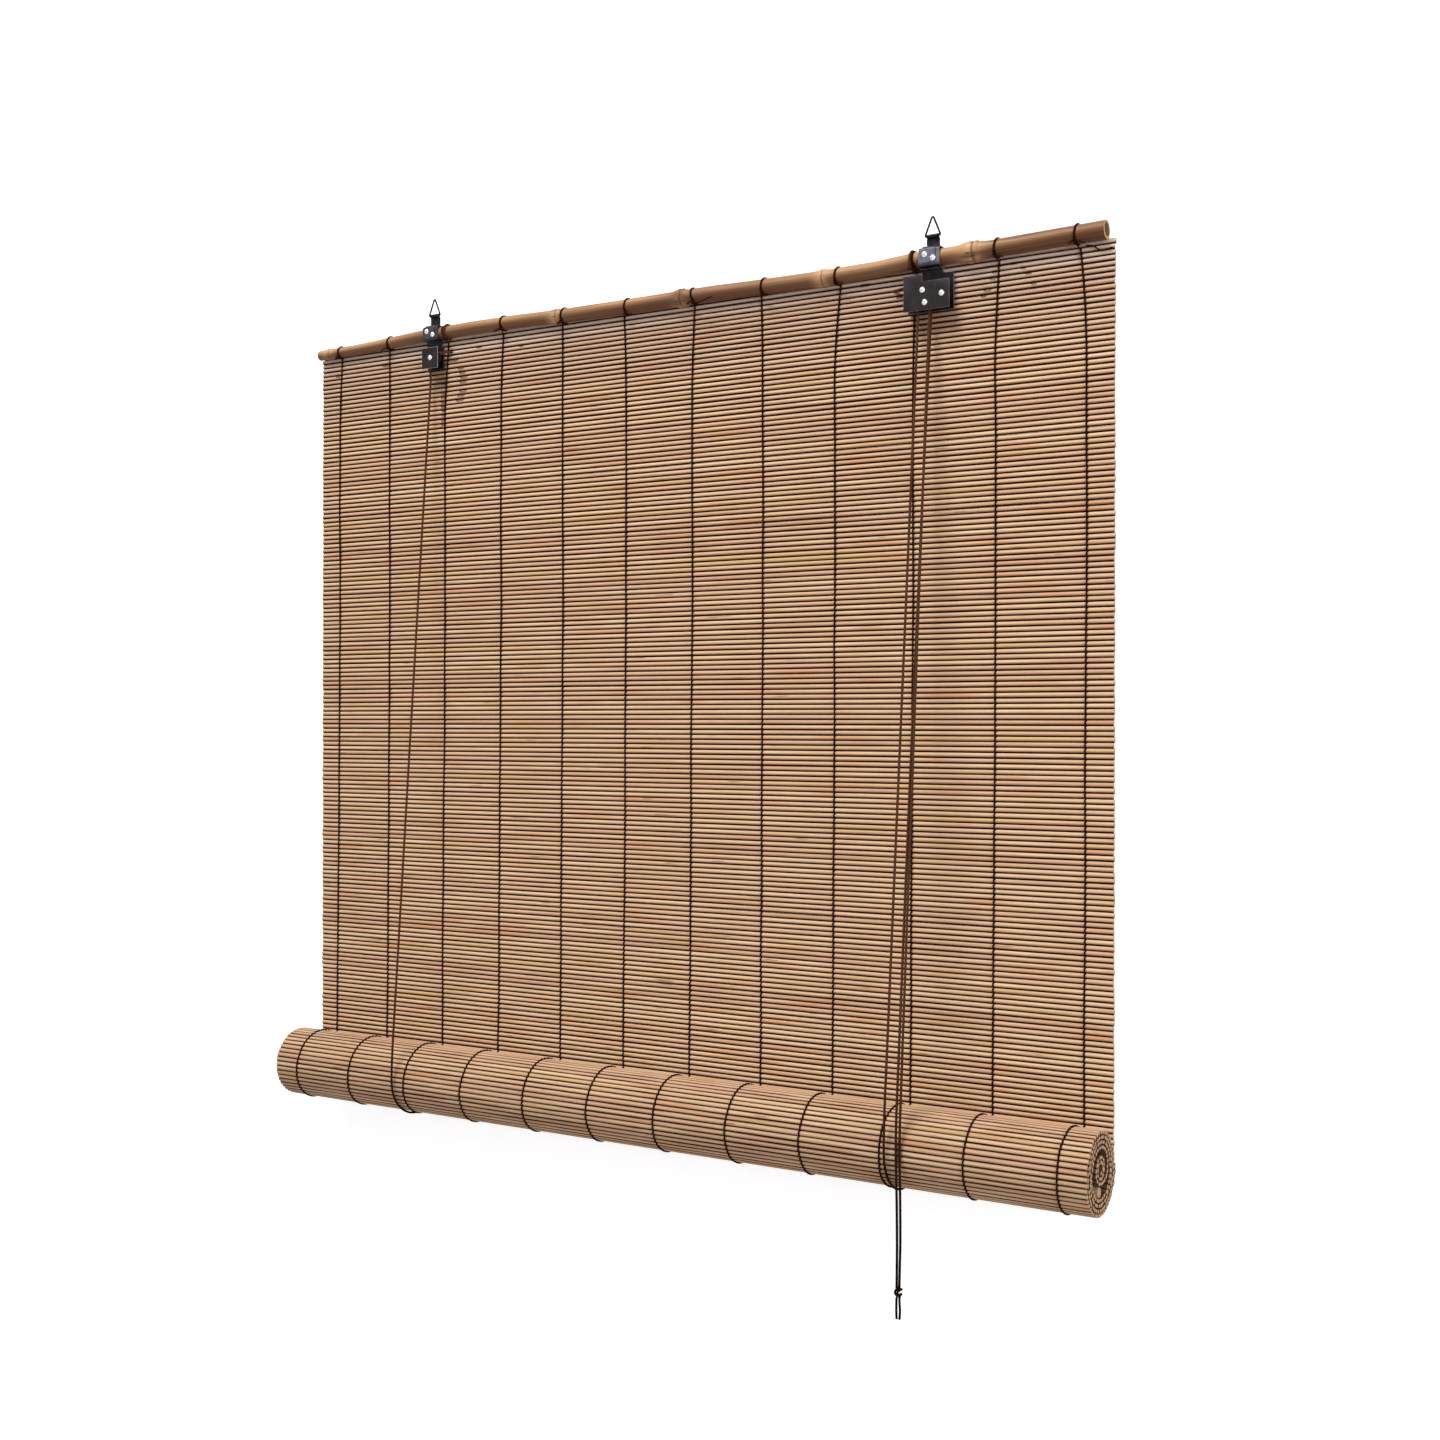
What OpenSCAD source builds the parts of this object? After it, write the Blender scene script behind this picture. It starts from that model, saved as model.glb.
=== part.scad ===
// Roll-up blind: bamboo slats under a cane, raised by two cords over pulleys.
// X runs along the cane, Y runs from the room to the wall and Z is up.
// The origin is midway between the two hooks, at the inside of the ring tops.

/* [Mat] */
// Width of the slat mat
mat_w = 1000; // [900:10:1100]
// Slats that hang between the cane and the roll
slat_count = 162; // [140:1:170]
// Height of one slat with the groove under it
slat_pitch = 5.266; // [4.9:0.002:5.6]
// Thickness of a slat from front to back
slat_t = 3.2; // [2.8:0.1:3.4]
// Depth of the groove between slats on each face
groove = 1.2; // [0.8:0.1:1.2]
// Distance of the mat behind the middle of the cane
mat_back = 4.5; // [4.5:0.1:5.5]

/* [Threads] */
// Columns of warp thread
warp_count = 12; // [12:2:12]
// Distance from the edge of the mat to the outer thread
warp_margin = 27; // [20:1:40]
// Width of a thread
thread_w = 1.2; // [0.8:0.1:1.4]
// Thickness of a thread
thread_t = 0.7; // [0.5:0.1:0.8]
// Width of a lashing round the cane
lash_w = 2.4; // [1.6:0.2:3]
// Thickness of a lashing
lash_t = 1; // [0.8:0.1:1.4]

/* [Roll] */
// Radius of the roll where the hanging mat runs into it
roll_r = 41.5; // [38:0.5:44]
// Distance from one turn of the roll to the next
turn_pitch = 4.5; // [4.5:0.1:5]
// Radius of the rod inside the roll
rod_r = 5; // [4:0.5:5.5]

/* [Cane] */
// Distance from the hooks down to the middle of the cane
cane_drop = 39.4; // [38.4:0.2:41]
// Length of the cane past the mat on the left
cane_over = 2; // [0:1:10]
// Length by which the cane stops short of the mat's right edge
cane_short = 5; // [0:1:8]
// Radius at the thin end
cane_r_thin = 5.9; // [5.5:0.1:7]
// Radius under the left strap
cane_r_left = 7.3; // [7:0.1:7.8]
// Radius in the middle
cane_r_mid = 8.1; // [7.8:0.1:8.2]
// Radius under the right strap
cane_r_right = 8.4; // [8:0.1:8.6]
// Radius at the thick end
cane_r_thick = 9.1; // [8.6:0.1:9.4]
// Height of a knuckle over the cane
knuckle_rise = 0.8; // [0.4:0.1:1]
// Radius of the hollow in the thick end
hollow_r = 6.2; // [4:0.1:6.6]

/* [Hangers] */
// Distance of a hanger outside the third warp thread from the edge
hanger_off = 18; // [17:0.5:20]
// Thickness of the steel sheet
sheet_t = 1.2; // [1:0.1:1.4]
// Width of the strap round the cane
strap_w = 22; // [20:1:24]
// Gap between the strap and the cane
strap_fit = 0.15; // [0.12:0.01:0.25]
// Width of the ring tab
tab_w = 14; // [13:0.5:16]
// Diameter of the ring wire
ring_wire = 2; // [1.8:0.1:2.2]
// Width of the ring between wire middles
ring_w = 17; // [16:0.5:18]
// Height of the ring between wire middles
ring_h = 18.5; // [17.5:0.5:19.5]

/* [Housings] */
// Distance from the middle of the cane down to the top of the plates
plate_drop = 17.4; // [17:0.2:19]
// Shift of the housings towards the middle of the blind
plate_shift = 2; // [1.5:0.5:3]
// Width of the left plates
left_plate_w = 24; // [23:1:27]
// Height of the left plates
left_plate_h = 24.5; // [24:0.5:28]
// Width of the right plates
right_plate_w = 49; // [47:1:52]
// Height of the right plates
right_plate_h = 35; // [34:1:38]
// Drop of the step in the right front plate
right_step = 7; // [4:0.5:7.5]
// Radius of an axle
axle_r = 1.6; // [1.4:0.1:1.8]
// Radius of the pulley rims
pulley_r = 8; // [7.5:0.1:8.2]
// Width of a pulley
pulley_w = 4.4; // [4:0.1:4.8]
// Radius at which the cord runs on a pulley
cord_run_r = 6; // [5.8:0.1:6]

/* [Cords] */
// Diameter of the cords
cord_d = 2.5; // [2:0.1:2.6]

/* [Hidden] */
$fn = 48;
cord_r = cord_d / 2;
// Gaps: pieces that stay put, pieces that turn, cords on a pulley, pieces that pass each other
lie_gap = 0.03;
turn_gap = 0.05;
bed_gap = 0.2;
pass_gap = 0.3;
side_gap = 0.25;

// Mat and threads
cane_z = -cane_drop;
mat_top = cane_z - cane_r_thick - lash_t - 0.5;
mat_drop = slat_count * slat_pitch;
warp_pitch = (mat_w - 2 * warp_margin) / (warp_count - 1);
warp_x = [for (i = [0:warp_count - 1]) (i - (warp_count - 1) / 2) * warp_pitch];
hanger_x = 3.5 * warp_pitch + hanger_off;
cane_left = -mat_w / 2 - cane_over;
cane_right = mat_w / 2 - cane_short;

// Roll: a turn starts at the back, goes down, then up the front
roll_gap = 0.3;
roll_z = mat_top - mat_drop - roll_gap;
roll_y = mat_back + slat_t / 2 - roll_r;
// The inner turns draw in above the rod and leave a small eye
eye_start = 1380;
eye_draw = 7.5;
eye_rise = 3;
eye_r = 4.5;
roll_turns = (roll_r - slat_t / 2 - eye_draw - eye_r) / turn_pitch;
function smooth(t) = t * t * (3 - 2 * t);
function drawn(a) = smooth(max(0, min(1, (a - eye_start) / 150)));
function turn_r(a) = roll_r - slat_t / 2 - turn_pitch * a / 360 - eye_draw * drawn(a);
function slat_step(a) = slat_pitch / turn_r(a) * 180 / PI;
function on_roll(a, lift) = [
    roll_y + (turn_r(a) + lift) * cos(a),
    roll_z + eye_rise * drawn(a) - (turn_r(a) + lift) * sin(a)
];
// Turn that the rod lies under
rod_turn = 1170;
rod_z = roll_z - turn_r(rod_turn) + slat_t / 2 + pass_gap + rod_r;
slat_angles = [for (a = 0; a < roll_turns * 360; a = a + slat_step(a)) a];

// Cane: natural knuckles along its length, thin end on the left
knuckles = [-484, -138, 26, 199, 366];
taper = [
    [cane_left, cane_r_thin],
    [-hanger_x, cane_r_left],
    [0, cane_r_mid],
    [hanger_x, cane_r_right],
    [cane_right, cane_r_thick]
];
hollow_deep = 45;
pith_deep = 11;
function taper_r(x) = lookup(x, taper);
kept_knuckles = [for (k = knuckles) if (k > cane_left + 12 && k < cane_right - 12) k];
cane_side = concat(
    [[cane_left, cane_r_thin]],
    [for (k = kept_knuckles) for (s = [[-7, 0], [-2, 0.5], [0, 1], [1.5, 0.7], [3, -0.3], [8, 0]])
        [k + s[0], taper_r(k + s[0]) + s[1] * knuckle_rise]],
    [[cane_right, cane_r_thick]]
);
function cane_r(x) = lookup(x, cane_side);
function cane_top_r(x, w) = max([for (d = [-w / 2:w / 4:w / 2]) cane_r(x + d)]);

// Hangers
tab_t = 1;
ring_r = ring_wire / 2;
ring_bend = 1.25;
ring_peak = ring_r + 2.3;
ring_bead = 0.03;
ring_foot = ring_r - ring_h;
loop_r = ring_r + turn_gap + tab_t;
loop_w = ring_w - 4.4;
tab_low = 6;
tab_rivet_r = 1.3;
tab_rivet_x = 4.5;
tab_rivet_z = 2.2;
head_r = 3;
head_h = 1.6;
tail_r = 2.4;
tail_h = 0.8;
strap_bend = 4;
function strap_half(r) = r + strap_fit + sheet_t;

// Housings: the back plate lies in the plane of the cane's middle
plate_top = cane_z - plate_drop;
house_gap = 2 * pulley_w + 3 * side_gap;
back_rise = 2;
back_y = sheet_t / 2;
inner_y = -sheet_t / 2;
front_y = inner_y - house_gap;
rear_run_y = inner_y - side_gap - pulley_w / 2;
front_run_y = rear_run_y - pulley_w - side_gap;
left_mid = -hanger_x + plate_shift;
right_mid = hanger_x - plate_shift;
left_axle_z = plate_top - 11.8;
right_axle_x = right_mid - 4.5;
right_axle_z = plate_top - 15;
pull_x = right_axle_x + cord_run_r;
guide_r = 1.95;
guide_x = pull_x - cord_r - pass_gap - guide_r;
guide_z = plate_top - 27.3;
cam_edge = 8.5;
cam_x = right_mid + right_plate_w / 2 - cam_edge;
cam_z = plate_top - 20.4;
cam_face = pull_x + cord_r + pass_gap - cam_x;

// Cords held by the blind
// The runs meet end to end a little under the middle of a pulley
lead = 1;
left_sling_x = -hanger_x + 4;
right_sling_x = hanger_x - 15;
sling_r = roll_r + pass_gap + cord_r;
behind_y = mat_back + slat_t / 2 + lie_gap + thread_t + pass_gap + cord_r + 0.2;
tie_x = 3.5 * warp_pitch - 4.5;
cross_turn = 26;
left_cross_x = left_mid + 9;
right_cross_x = right_mid - 27;
left_cross_z = left_axle_z + cord_run_r;
right_cross_z = right_axle_z + cord_run_r;

// Route of the two pull cords from the pulleys to the knot
pull_front = [
    [318.5, -7.7, -84], [318.5, -7.7, -95], [318.5, -8.2, -105], [318.5, -9.5, -120],
    [318.6, -14, -170], [318.8, -24, -283], [319, -38, -441], [319.2, -52, -600],
    [319.4, -66, -758], [319.5, -73.5, -848], [319.5, -75.7, -876], [319.6, -76.5, -896],
    [319.8, -76.7, -916], [320.4, -76.8, -950], [320.6, -77, -985], [320, -77, -1010],
    [319.6, -77, -1028]
];
pull_rear = [
    [318.5, -3.05, -84], [318.5, -3.05, -95], [318.4, -3.6, -105], [318.2, -5, -120],
    [317.8, -10, -170], [317.2, -21, -283], [316.6, -36, -441], [316.1, -51, -600],
    [315.8, -65.5, -758], [315.6, -73.5, -848], [315.6, -75.7, -876], [315.7, -76.5, -896],
    [316, -76.7, -916], [316.8, -76.8, -950], [317.2, -77, -985], [317, -77, -1010],
    [316.8, -77, -1028]
];
knot_at = [318.2, -77, -1032];
knot_r = 5;

// Helpers

function unit(v) = v / norm(v);
function heading(p, i) = unit(p[min(i + 1, len(p) - 1)] - p[max(i - 1, 0)]);

// Round tube through a list of points, with eight sides
module tube(p, r) {
    n = 8;
    last = (len(p) - 1) * n;
    rings = [for (i = [0:len(p) - 1])
        let (t = heading(p, i), s = unit(cross(t, [0, 1, 0])), u = cross(s, t))
        for (k = [0:n - 1]) p[i] + r * (cos(360 * k / n) * s + sin(360 * k / n) * u)];
    sides = [for (i = [0:len(p) - 2]) for (k = [0:n - 1]) [
        i * n + k, i * n + (k + 1) % n, (i + 1) * n + (k + 1) % n, (i + 1) * n + k
    ]];
    ends = [[for (k = [0:n - 1]) n - 1 - k], [for (k = [0:n - 1]) last + k]];
    polyhedron(rings, concat(sides, ends));
}

// Extrusion along X of a shape drawn in Y and Z
module along_x(length) {
    rotate([90, 0, 90]) linear_extrude(height = length, center = true) children();
}

// Box from two opposite corners
module block(a, b) {
    translate(a) cube(b - a);
}

// Round bar along Y between two depths
module bar_y(x, z, y0, y1, r) {
    translate([x, y1, z]) rotate([90, 0, 0]) cylinder(h = y1 - y0, r = r);
}

// Round bar along X about a point
module bar_x(x, y, z, length, r) {
    translate([x, y, z]) rotate([0, 90, 0]) cylinder(h = length, r = r, center = true);
}

// Domed rivet along Y: its head lies in front of y0 and its shank ends at y1
module rivet(x, z, y0, y1, r) {
    ball = (head_r * head_r + head_h * head_h) / (2 * head_h);
    bar_y(x, z, y0, y1, r);
    intersection() {
        translate([x, y0 + ball - head_h, z]) sphere(ball);
        bar_y(x, z, y0 - head_h - 1, y0, head_r + 1);
    }
}

// Ring of a given section width round the cane
module cane_ring(x, r, thick, w) {
    difference() {
        bar_x(x, 0, cane_z, w, r + thick);
        bar_x(x, 0, cane_z, w + 1, r);
    }
}

// Bar of square section with rounded edges along X
module rounded_bar(x, half, bend, w) {
    flat = half - bend;
    block([x - w / 2, -half, cane_z - flat], [x + w / 2, half, cane_z + flat]);
    block([x - w / 2, -flat, cane_z - half], [x + w / 2, flat, cane_z + half]);
    for (y = [-flat, flat]) {
        for (z = [-flat, flat]) {
            bar_x(x, y, cane_z + z, w, bend);
        }
    }
}

// Cane and mat

module head_cane() {
    outline = concat(
        [[0, cane_left]],
        [for (p = cane_side) [p[1], p[0]]],
        [[0, cane_right]]
    );
    color([0.47, 0.32, 0.25]) difference() {
        translate([0, 0, cane_z]) rotate([0, 90, 0]) rotate_extrude() polygon(outline);
        bar_x(cane_right, 0.4, cane_z + 0.6, 2 * hollow_deep, hollow_r);
        bar_x(cane_left, 0, cane_z, 2 * pith_deep, hollow_r * 0.6);
    }
}

module cane_lashings() {
    color([0.16, 0.11, 0.09]) for (x = warp_x) {
        cane_ring(x, cane_top_r(x, lash_w) + lie_gap, lash_t, lash_w);
    }
}

module hanging_mat() {
    crest = slat_t / 2;
    valley = crest - groove;
    front = [for (i = [0:slat_count - 1]) for (s = [[0, valley], [0.16, crest], [0.84, crest]])
        [mat_back - s[1], mat_top - (i + s[0]) * slat_pitch]];
    back = [for (i = [slat_count - 1:-1:0]) for (s = [[1, valley], [0.84, crest], [0.16, crest]])
        [mat_back + s[1], mat_top - (i + s[0]) * slat_pitch]];
    tip = [[mat_back - valley, mat_top - mat_drop]];
    head = [[mat_back + valley, mat_top]];
    slot = cord_r + pass_gap;
    color([0.68, 0.54, 0.42]) difference() {
        along_x(mat_w) polygon(concat(front, tip, back, head));
        block(
            [left_cross_x + 8, mat_back - slat_t, left_cross_z - slot],
            [left_cross_x + cross_turn, mat_back + slat_t, left_cross_z + slot]
        );
        block(
            [right_cross_x - cross_turn, mat_back - slat_t, right_cross_z - slot],
            [right_cross_x - 8, mat_back + slat_t, right_cross_z + slot]
        );
    }
}

module mat_threads() {
    near = slat_t / 2 + lie_gap;
    color([0.16, 0.11, 0.09]) for (x = warp_x) {
        for (y = [mat_back - near - thread_t, mat_back + near]) {
            top_r = cane_top_r(x, lash_w) + lash_t + 2 * lie_gap;
            block(
                [x - thread_w / 2, y, roll_z + roll_gap],
                [x + thread_w / 2, y + thread_t, cane_z - sqrt(top_r * top_r - y * y)]
            );
        }
    }
}

// Roll

module slat_roll() {
    crest = slat_t / 2;
    valley = crest - groove;
    outside = [for (a = slat_angles) for (s = [[0, valley], [0.16, crest], [0.84, crest]])
        on_roll(a + s[0] * slat_step(a), s[1])];
    steps = len(slat_angles);
    inside = [for (i = [steps - 1:-1:0]) for (s = [[0.84, crest], [0.16, crest], [0, valley]])
        on_roll(slat_angles[i] + s[0] * slat_step(slat_angles[i]), -s[1])];
    color([0.66, 0.52, 0.4]) along_x(mat_w) polygon(concat(outside, inside));
}

module roll_threads() {
    crest = slat_t / 2 + lie_gap;
    turn = [for (a = slat_angles) if (a < 335) for (s = [0.16, 0.84]) a + s * slat_step(a)];
    ends = len(turn) - 1;
    outside = [for (a = turn) on_roll(a, crest + thread_t)];
    inside = [for (i = [ends:-1:0]) on_roll(turn[i], crest)];
    color([0.16, 0.11, 0.09]) for (x = warp_x) {
        translate([x, 0, 0]) along_x(thread_w) polygon(concat(outside, inside));
    }
}

module roll_rod() {
    color([0.6, 0.46, 0.34]) bar_x(0, roll_y, rod_z, mat_w, rod_r);
}

// Hangers

module strap(x, mid, r, w, h, axles, slot_x, slot_z) {
    half = strap_half(r);
    slot = cord_r + pass_gap + 0.4;
    color([0.13, 0.13, 0.14]) difference() {
        union() {
            difference() {
                rounded_bar(x, half, strap_bend, strap_w);
                rounded_bar(x, half - sheet_t, strap_bend - sheet_t, strap_w + 1);
            }
            block(
                [x - strap_w / 2, inner_y, plate_top - 1],
                [x + strap_w / 2, back_y, cane_z - half + sheet_t / 2]
            );
            block([mid - w / 2, inner_y, plate_top - h], [mid + w / 2, back_y, plate_top + back_rise]);
        }
        for (s = [-1, 1]) {
            bar_y(x + s * tab_rivet_x, cane_z - s * tab_rivet_z, -half - 1, -half + sheet_t + 1,
                tab_rivet_r + lie_gap);
        }
        for (p = axles) {
            bar_y(p[0], p[1], inner_y - 1, back_y + 1, axle_r + lie_gap);
        }
        block([slot_x[0], inner_y - 1, slot_z - slot], [slot_x[1], back_y + 1, slot_z + slot]);
    }
}

module left_strap() {
    edge = left_mid + left_plate_w / 2;
    strap(-hanger_x, left_mid, cane_r_left, left_plate_w, left_plate_h, [[left_mid, left_axle_z]],
        [edge - 8, edge + 1], left_cross_z);
}

module right_strap() {
    edge = right_mid - right_plate_w / 2;
    strap(hanger_x, right_mid, cane_r_right, right_plate_w, right_plate_h,
        [[right_axle_x, right_axle_z], [guide_x, guide_z], [cam_x, cam_z]],
        [edge - 1, edge + 6], right_cross_z);
}

// Strip that goes up the front of the strap, back over its top and up to an eye for the ring
module ring_tab(x, r) {
    half = strap_half(r) + lie_gap;
    bend = strap_bend + lie_gap;
    rear = [loop_r - tab_t, loop_r];
    color([0.2, 0.2, 0.21]) difference() {
        union() {
            intersection() {
                difference() {
                    rounded_bar(x, half + tab_t, bend + tab_t, tab_w);
                    rounded_bar(x, half, bend, tab_w + 1);
                }
                block([x - tab_w, -half - 2 * tab_t, cane_z - tab_low],
                    [x + tab_w, rear[1], cane_z + half + 2 * tab_t]);
            }
            block([x - tab_w / 2, rear[0], cane_z + half],
                [x + tab_w / 2, rear[1], ring_foot - loop_r]);
            block([x - loop_w / 2, rear[0], ring_foot - loop_r - tab_t],
                [x + loop_w / 2, rear[1], ring_foot]);
            bar_x(x, 0, ring_foot, loop_w, loop_r);
        }
        bar_x(x, 0, ring_foot, loop_w + 1, ring_r + turn_gap);
        for (s = [-1, 1]) {
            bar_y(x + s * tab_rivet_x, cane_z - s * tab_rivet_z, -half - tab_t - 1, -half + 1,
                tab_rivet_r + lie_gap);
        }
    }
}

module left_ring_tab() {
    ring_tab(-hanger_x, cane_r_left);
}

module right_ring_tab() {
    ring_tab(hanger_x, cane_r_right);
}

module tab_rivets(x, r) {
    half = strap_half(r);
    color([0.6, 0.6, 0.6]) for (s = [-1, 1]) {
        rivet(x + s * tab_rivet_x, cane_z - s * tab_rivet_z, -half - tab_t - 2 * lie_gap,
            -half + sheet_t, tab_rivet_r);
    }
}

module left_tab_rivets() {
    tab_rivets(-hanger_x, cane_r_left);
}

module right_tab_rivets() {
    tab_rivets(hanger_x, cane_r_right);
}

// Closed triangle of bent wire with its foot in the eye of the tab
module wire_ring(x) {
    corners = [[-ring_w / 2, ring_foot], [ring_w / 2, ring_foot], [0, ring_peak]];
    color([0.2, 0.2, 0.21]) translate([x, 0, 0]) for (i = [0:2]) {
        here = corners[i];
        next = corners[(i + 1) % 3];
        back = unit(corners[(i + 2) % 3] - here);
        ahead = unit(next - here);
        beyond = unit(corners[(i + 2) % 3] - next);
        half_angle = acos(back * ahead) / 2;
        next_half = acos(-ahead * beyond) / 2;
        cut = ring_bend / tan(half_angle);
        next_cut = ring_bend / tan(next_half);
        middle = here + unit(back + ahead) * ring_bend / sin(half_angle);
        start = here + back * cut - middle;
        from = here + ahead * cut;
        run = norm(next - here) - cut - next_cut;
        translate([from[0], 0, from[1]]) rotate([0, 90 - atan2(ahead[1], ahead[0]), 0]) {
            cylinder(h = run, r = ring_r);
            sphere(ring_r + ring_bead);
            translate([0, 0, run]) sphere(ring_r + ring_bead);
        }
        translate([middle[0], 0, middle[1]]) rotate([90, 0, 0])
            rotate([0, 0, atan2(start[1], start[0])])
            rotate_extrude(angle = 180 - 2 * half_angle) translate([ring_bend, 0]) circle(ring_r);
    }
}

module left_ring() {
    wire_ring(-hanger_x);
}

module right_ring() {
    wire_ring(hanger_x);
}

// Housings

module left_front_plate() {
    color([0.15, 0.15, 0.16]) difference() {
        block(
            [left_mid - left_plate_w / 2, front_y - sheet_t, plate_top - left_plate_h],
            [left_mid + left_plate_w / 2, front_y, plate_top]
        );
        bar_y(left_mid, left_axle_z, front_y - sheet_t - 1, front_y + 1, axle_r + lie_gap);
    }
}

module right_front_plate() {
    edge = right_mid - right_plate_w / 2;
    color([0.15, 0.15, 0.16]) difference() {
        union() {
            block(
                [edge, front_y - sheet_t, plate_top - right_plate_h],
                [edge + right_plate_w, front_y, plate_top - right_step]
            );
            block(
                [edge, front_y - sheet_t, plate_top - right_step - 1],
                [edge + 20, front_y, plate_top]
            );
        }
        for (p = [[right_axle_x, right_axle_z], [guide_x, guide_z], [cam_x, cam_z]]) {
            bar_y(p[0], p[1], front_y - sheet_t - 1, front_y + 1, axle_r + lie_gap);
        }
    }
}

// Rivet through both plates, with a flat tail behind
module axle(x, z) {
    color([0.62, 0.62, 0.6]) union() {
        rivet(x, z, front_y - sheet_t - lie_gap, back_y + lie_gap, axle_r);
        bar_y(x, z, back_y + lie_gap, back_y + lie_gap + tail_h, tail_r);
    }
}

module left_axle() {
    axle(left_mid, left_axle_z);
}

module right_axle() {
    axle(right_axle_x, right_axle_z);
}

module guide_rivet() {
    axle(guide_x, guide_z);
}

module cam_rivet() {
    axle(cam_x, cam_z);
}

module pulley(x, y, z) {
    root = cord_run_r - cord_r - bed_gap;
    half = pulley_w / 2;
    rim = half - 0.45;
    floor_w = cord_r + turn_gap;
    bore = axle_r + turn_gap;
    color([0.2, 0.2, 0.2]) translate([x, y, z]) rotate([90, 0, 0]) rotate_extrude() polygon([
        [bore, -half], [pulley_r, -half], [pulley_r, -rim], [root, -floor_w],
        [root, floor_w], [pulley_r, rim], [pulley_r, half], [bore, half]
    ]);
}

module left_pulley() {
    pulley(left_mid, rear_run_y, left_axle_z);
}

module right_front_pulley() {
    pulley(right_axle_x, front_run_y, right_axle_z);
}

module right_rear_pulley() {
    pulley(right_axle_x, rear_run_y, right_axle_z);
}

module left_spacer() {
    far = rear_run_y - pulley_w / 2 - side_gap;
    color([0.62, 0.62, 0.6]) difference() {
        bar_y(left_mid, left_axle_z, front_y + lie_gap, far, axle_r + 1.4);
        bar_y(left_mid, left_axle_z, front_y - 1, far + 1, axle_r + lie_gap);
    }
}

module guide_sleeve() {
    color([0.62, 0.62, 0.6]) difference() {
        bar_y(guide_x, guide_z, front_y + lie_gap, inner_y - lie_gap, guide_r);
        bar_y(guide_x, guide_z, front_y - 1, inner_y + 1, axle_r + lie_gap);
    }
}

// Cam with a toothed face that pinches the pull cords
module lock_cam() {
    teeth = [for (i = [0:4]) for (s = [[0, 0], [0.8, 0.5]]) [cam_face + s[0], -3.1 - i - s[1]]];
    shape = concat([[-1.4, 3.9]], teeth, [[cam_face, -8.1], [-9, -9.4], [0.4, -4.1], [3, 0]]);
    color([0.66, 0.56, 0.34]) difference() {
        union() {
            bar_y(cam_x, cam_z, front_y + side_gap, inner_y - side_gap, 4.2);
            translate([cam_x, inner_y - side_gap, cam_z]) rotate([90, 0, 0])
                linear_extrude(height = house_gap - 2 * side_gap) polygon(shape);
        }
        bar_y(cam_x, cam_z, front_y - 1, inner_y + 1, axle_r + turn_gap);
    }
}

// Cords

module front_cord(x, y, z, sling_x) {
    front = roll_y - sling_r;
    run = [for (t = [0:0.125:1])
        [x + (sling_x - x) * t, y + (front + 2 - y) * t, z - 30 + (roll_z + 45 - z + 30) * t]];
    route = concat(
        [[x, y, z - lead - lie_gap], [x, y, z - 12], [x, y, z - 22]],
        run,
        [for (s = [[0.5, 22], [0, 10], [0, lie_gap]]) [sling_x, front + s[0], roll_z + s[1]]]
    );
    color([0.25, 0.16, 0.11]) tube(route, cord_r);
}

module left_front_cord() {
    front_cord(left_mid - cord_run_r, rear_run_y, left_axle_z, left_sling_x);
}

module right_front_cord() {
    front_cord(right_axle_x - cord_run_r, front_run_y, right_axle_z, right_sling_x);
}

module sling(x) {
    color([0.25, 0.16, 0.11]) translate([x, roll_y, roll_z]) rotate([90, 0, 90])
        rotate([0, 0, 180]) rotate_extrude(angle = 180) translate([sling_r, 0]) circle(cord_r);
}

module left_sling() {
    sling(left_sling_x);
}

module right_sling() {
    sling(right_sling_x);
}

module back_cord(x, top_x, r) {
    from = roll_y + sling_r;
    bend = r + lie_gap + cord_r;
    top = cane_z - sqrt(bend * bend + 2 * bend * cord_r) + cord_r;
    route = concat(
        [[x, from, roll_z + lie_gap], [x, from, roll_z + 4], [x, behind_y - 0.2, roll_z + 24]],
        [for (t = [0:0.125:1]) [x + (top_x - x) * t, behind_y, roll_z + 40 + (top - 14 - roll_z - 40) * t]],
        [[top_x, behind_y - 0.2, top - 8], [top_x, behind_y - 0.4, top - 1]]
    );
    color([0.25, 0.16, 0.11]) tube(route, cord_r);
}

module left_back_cord() {
    back_cord(left_sling_x, -tie_x, cane_r(-tie_x));
}

module right_back_cord() {
    back_cord(right_sling_x, tie_x, cane_r(tie_x));
}

module cord_loop(x) {
    r = cane_top_r(x, cord_d) + lie_gap + cord_r;
    color([0.25, 0.16, 0.11]) translate([x, 0, cane_z]) rotate([0, 90, 0])
        rotate_extrude() translate([r, 0]) circle(cord_r);
}

module left_cord_loop() {
    cord_loop(-tie_x);
}

module right_cord_loop() {
    cord_loop(tie_x);
}

module cross_cord() {
    from = [[left_mid - cord_run_r, rear_run_y, left_axle_z - lead]];
    into = [for (a = [180:-22.5:90])
        [left_mid + cord_run_r * cos(a), rear_run_y, left_axle_z + cord_run_r * sin(a)]];
    back = [for (t = [0:0.125:1])
        [left_cross_x + cross_turn * t, rear_run_y + (behind_y - rear_run_y) * smooth(t), left_cross_z]];
    ahead = [for (t = [0:0.125:1])
        [right_cross_x - cross_turn * (1 - t), behind_y + (rear_run_y - behind_y) * smooth(t),
            right_cross_z]];
    out = [for (a = [90:-22.5:0])
        [right_axle_x + cord_run_r * cos(a), rear_run_y, right_axle_z + cord_run_r * sin(a)]];
    to = [[pull_x, rear_run_y, right_axle_z - lead]];
    color([0.25, 0.16, 0.11]) tube(concat(from, into, back, ahead, out, to), cord_r);
}

module left_pull_cord() {
    color([0.25, 0.16, 0.11])
        tube(concat([[pull_x, rear_run_y, right_axle_z - lead - lie_gap]], pull_rear), cord_r);
}

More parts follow.
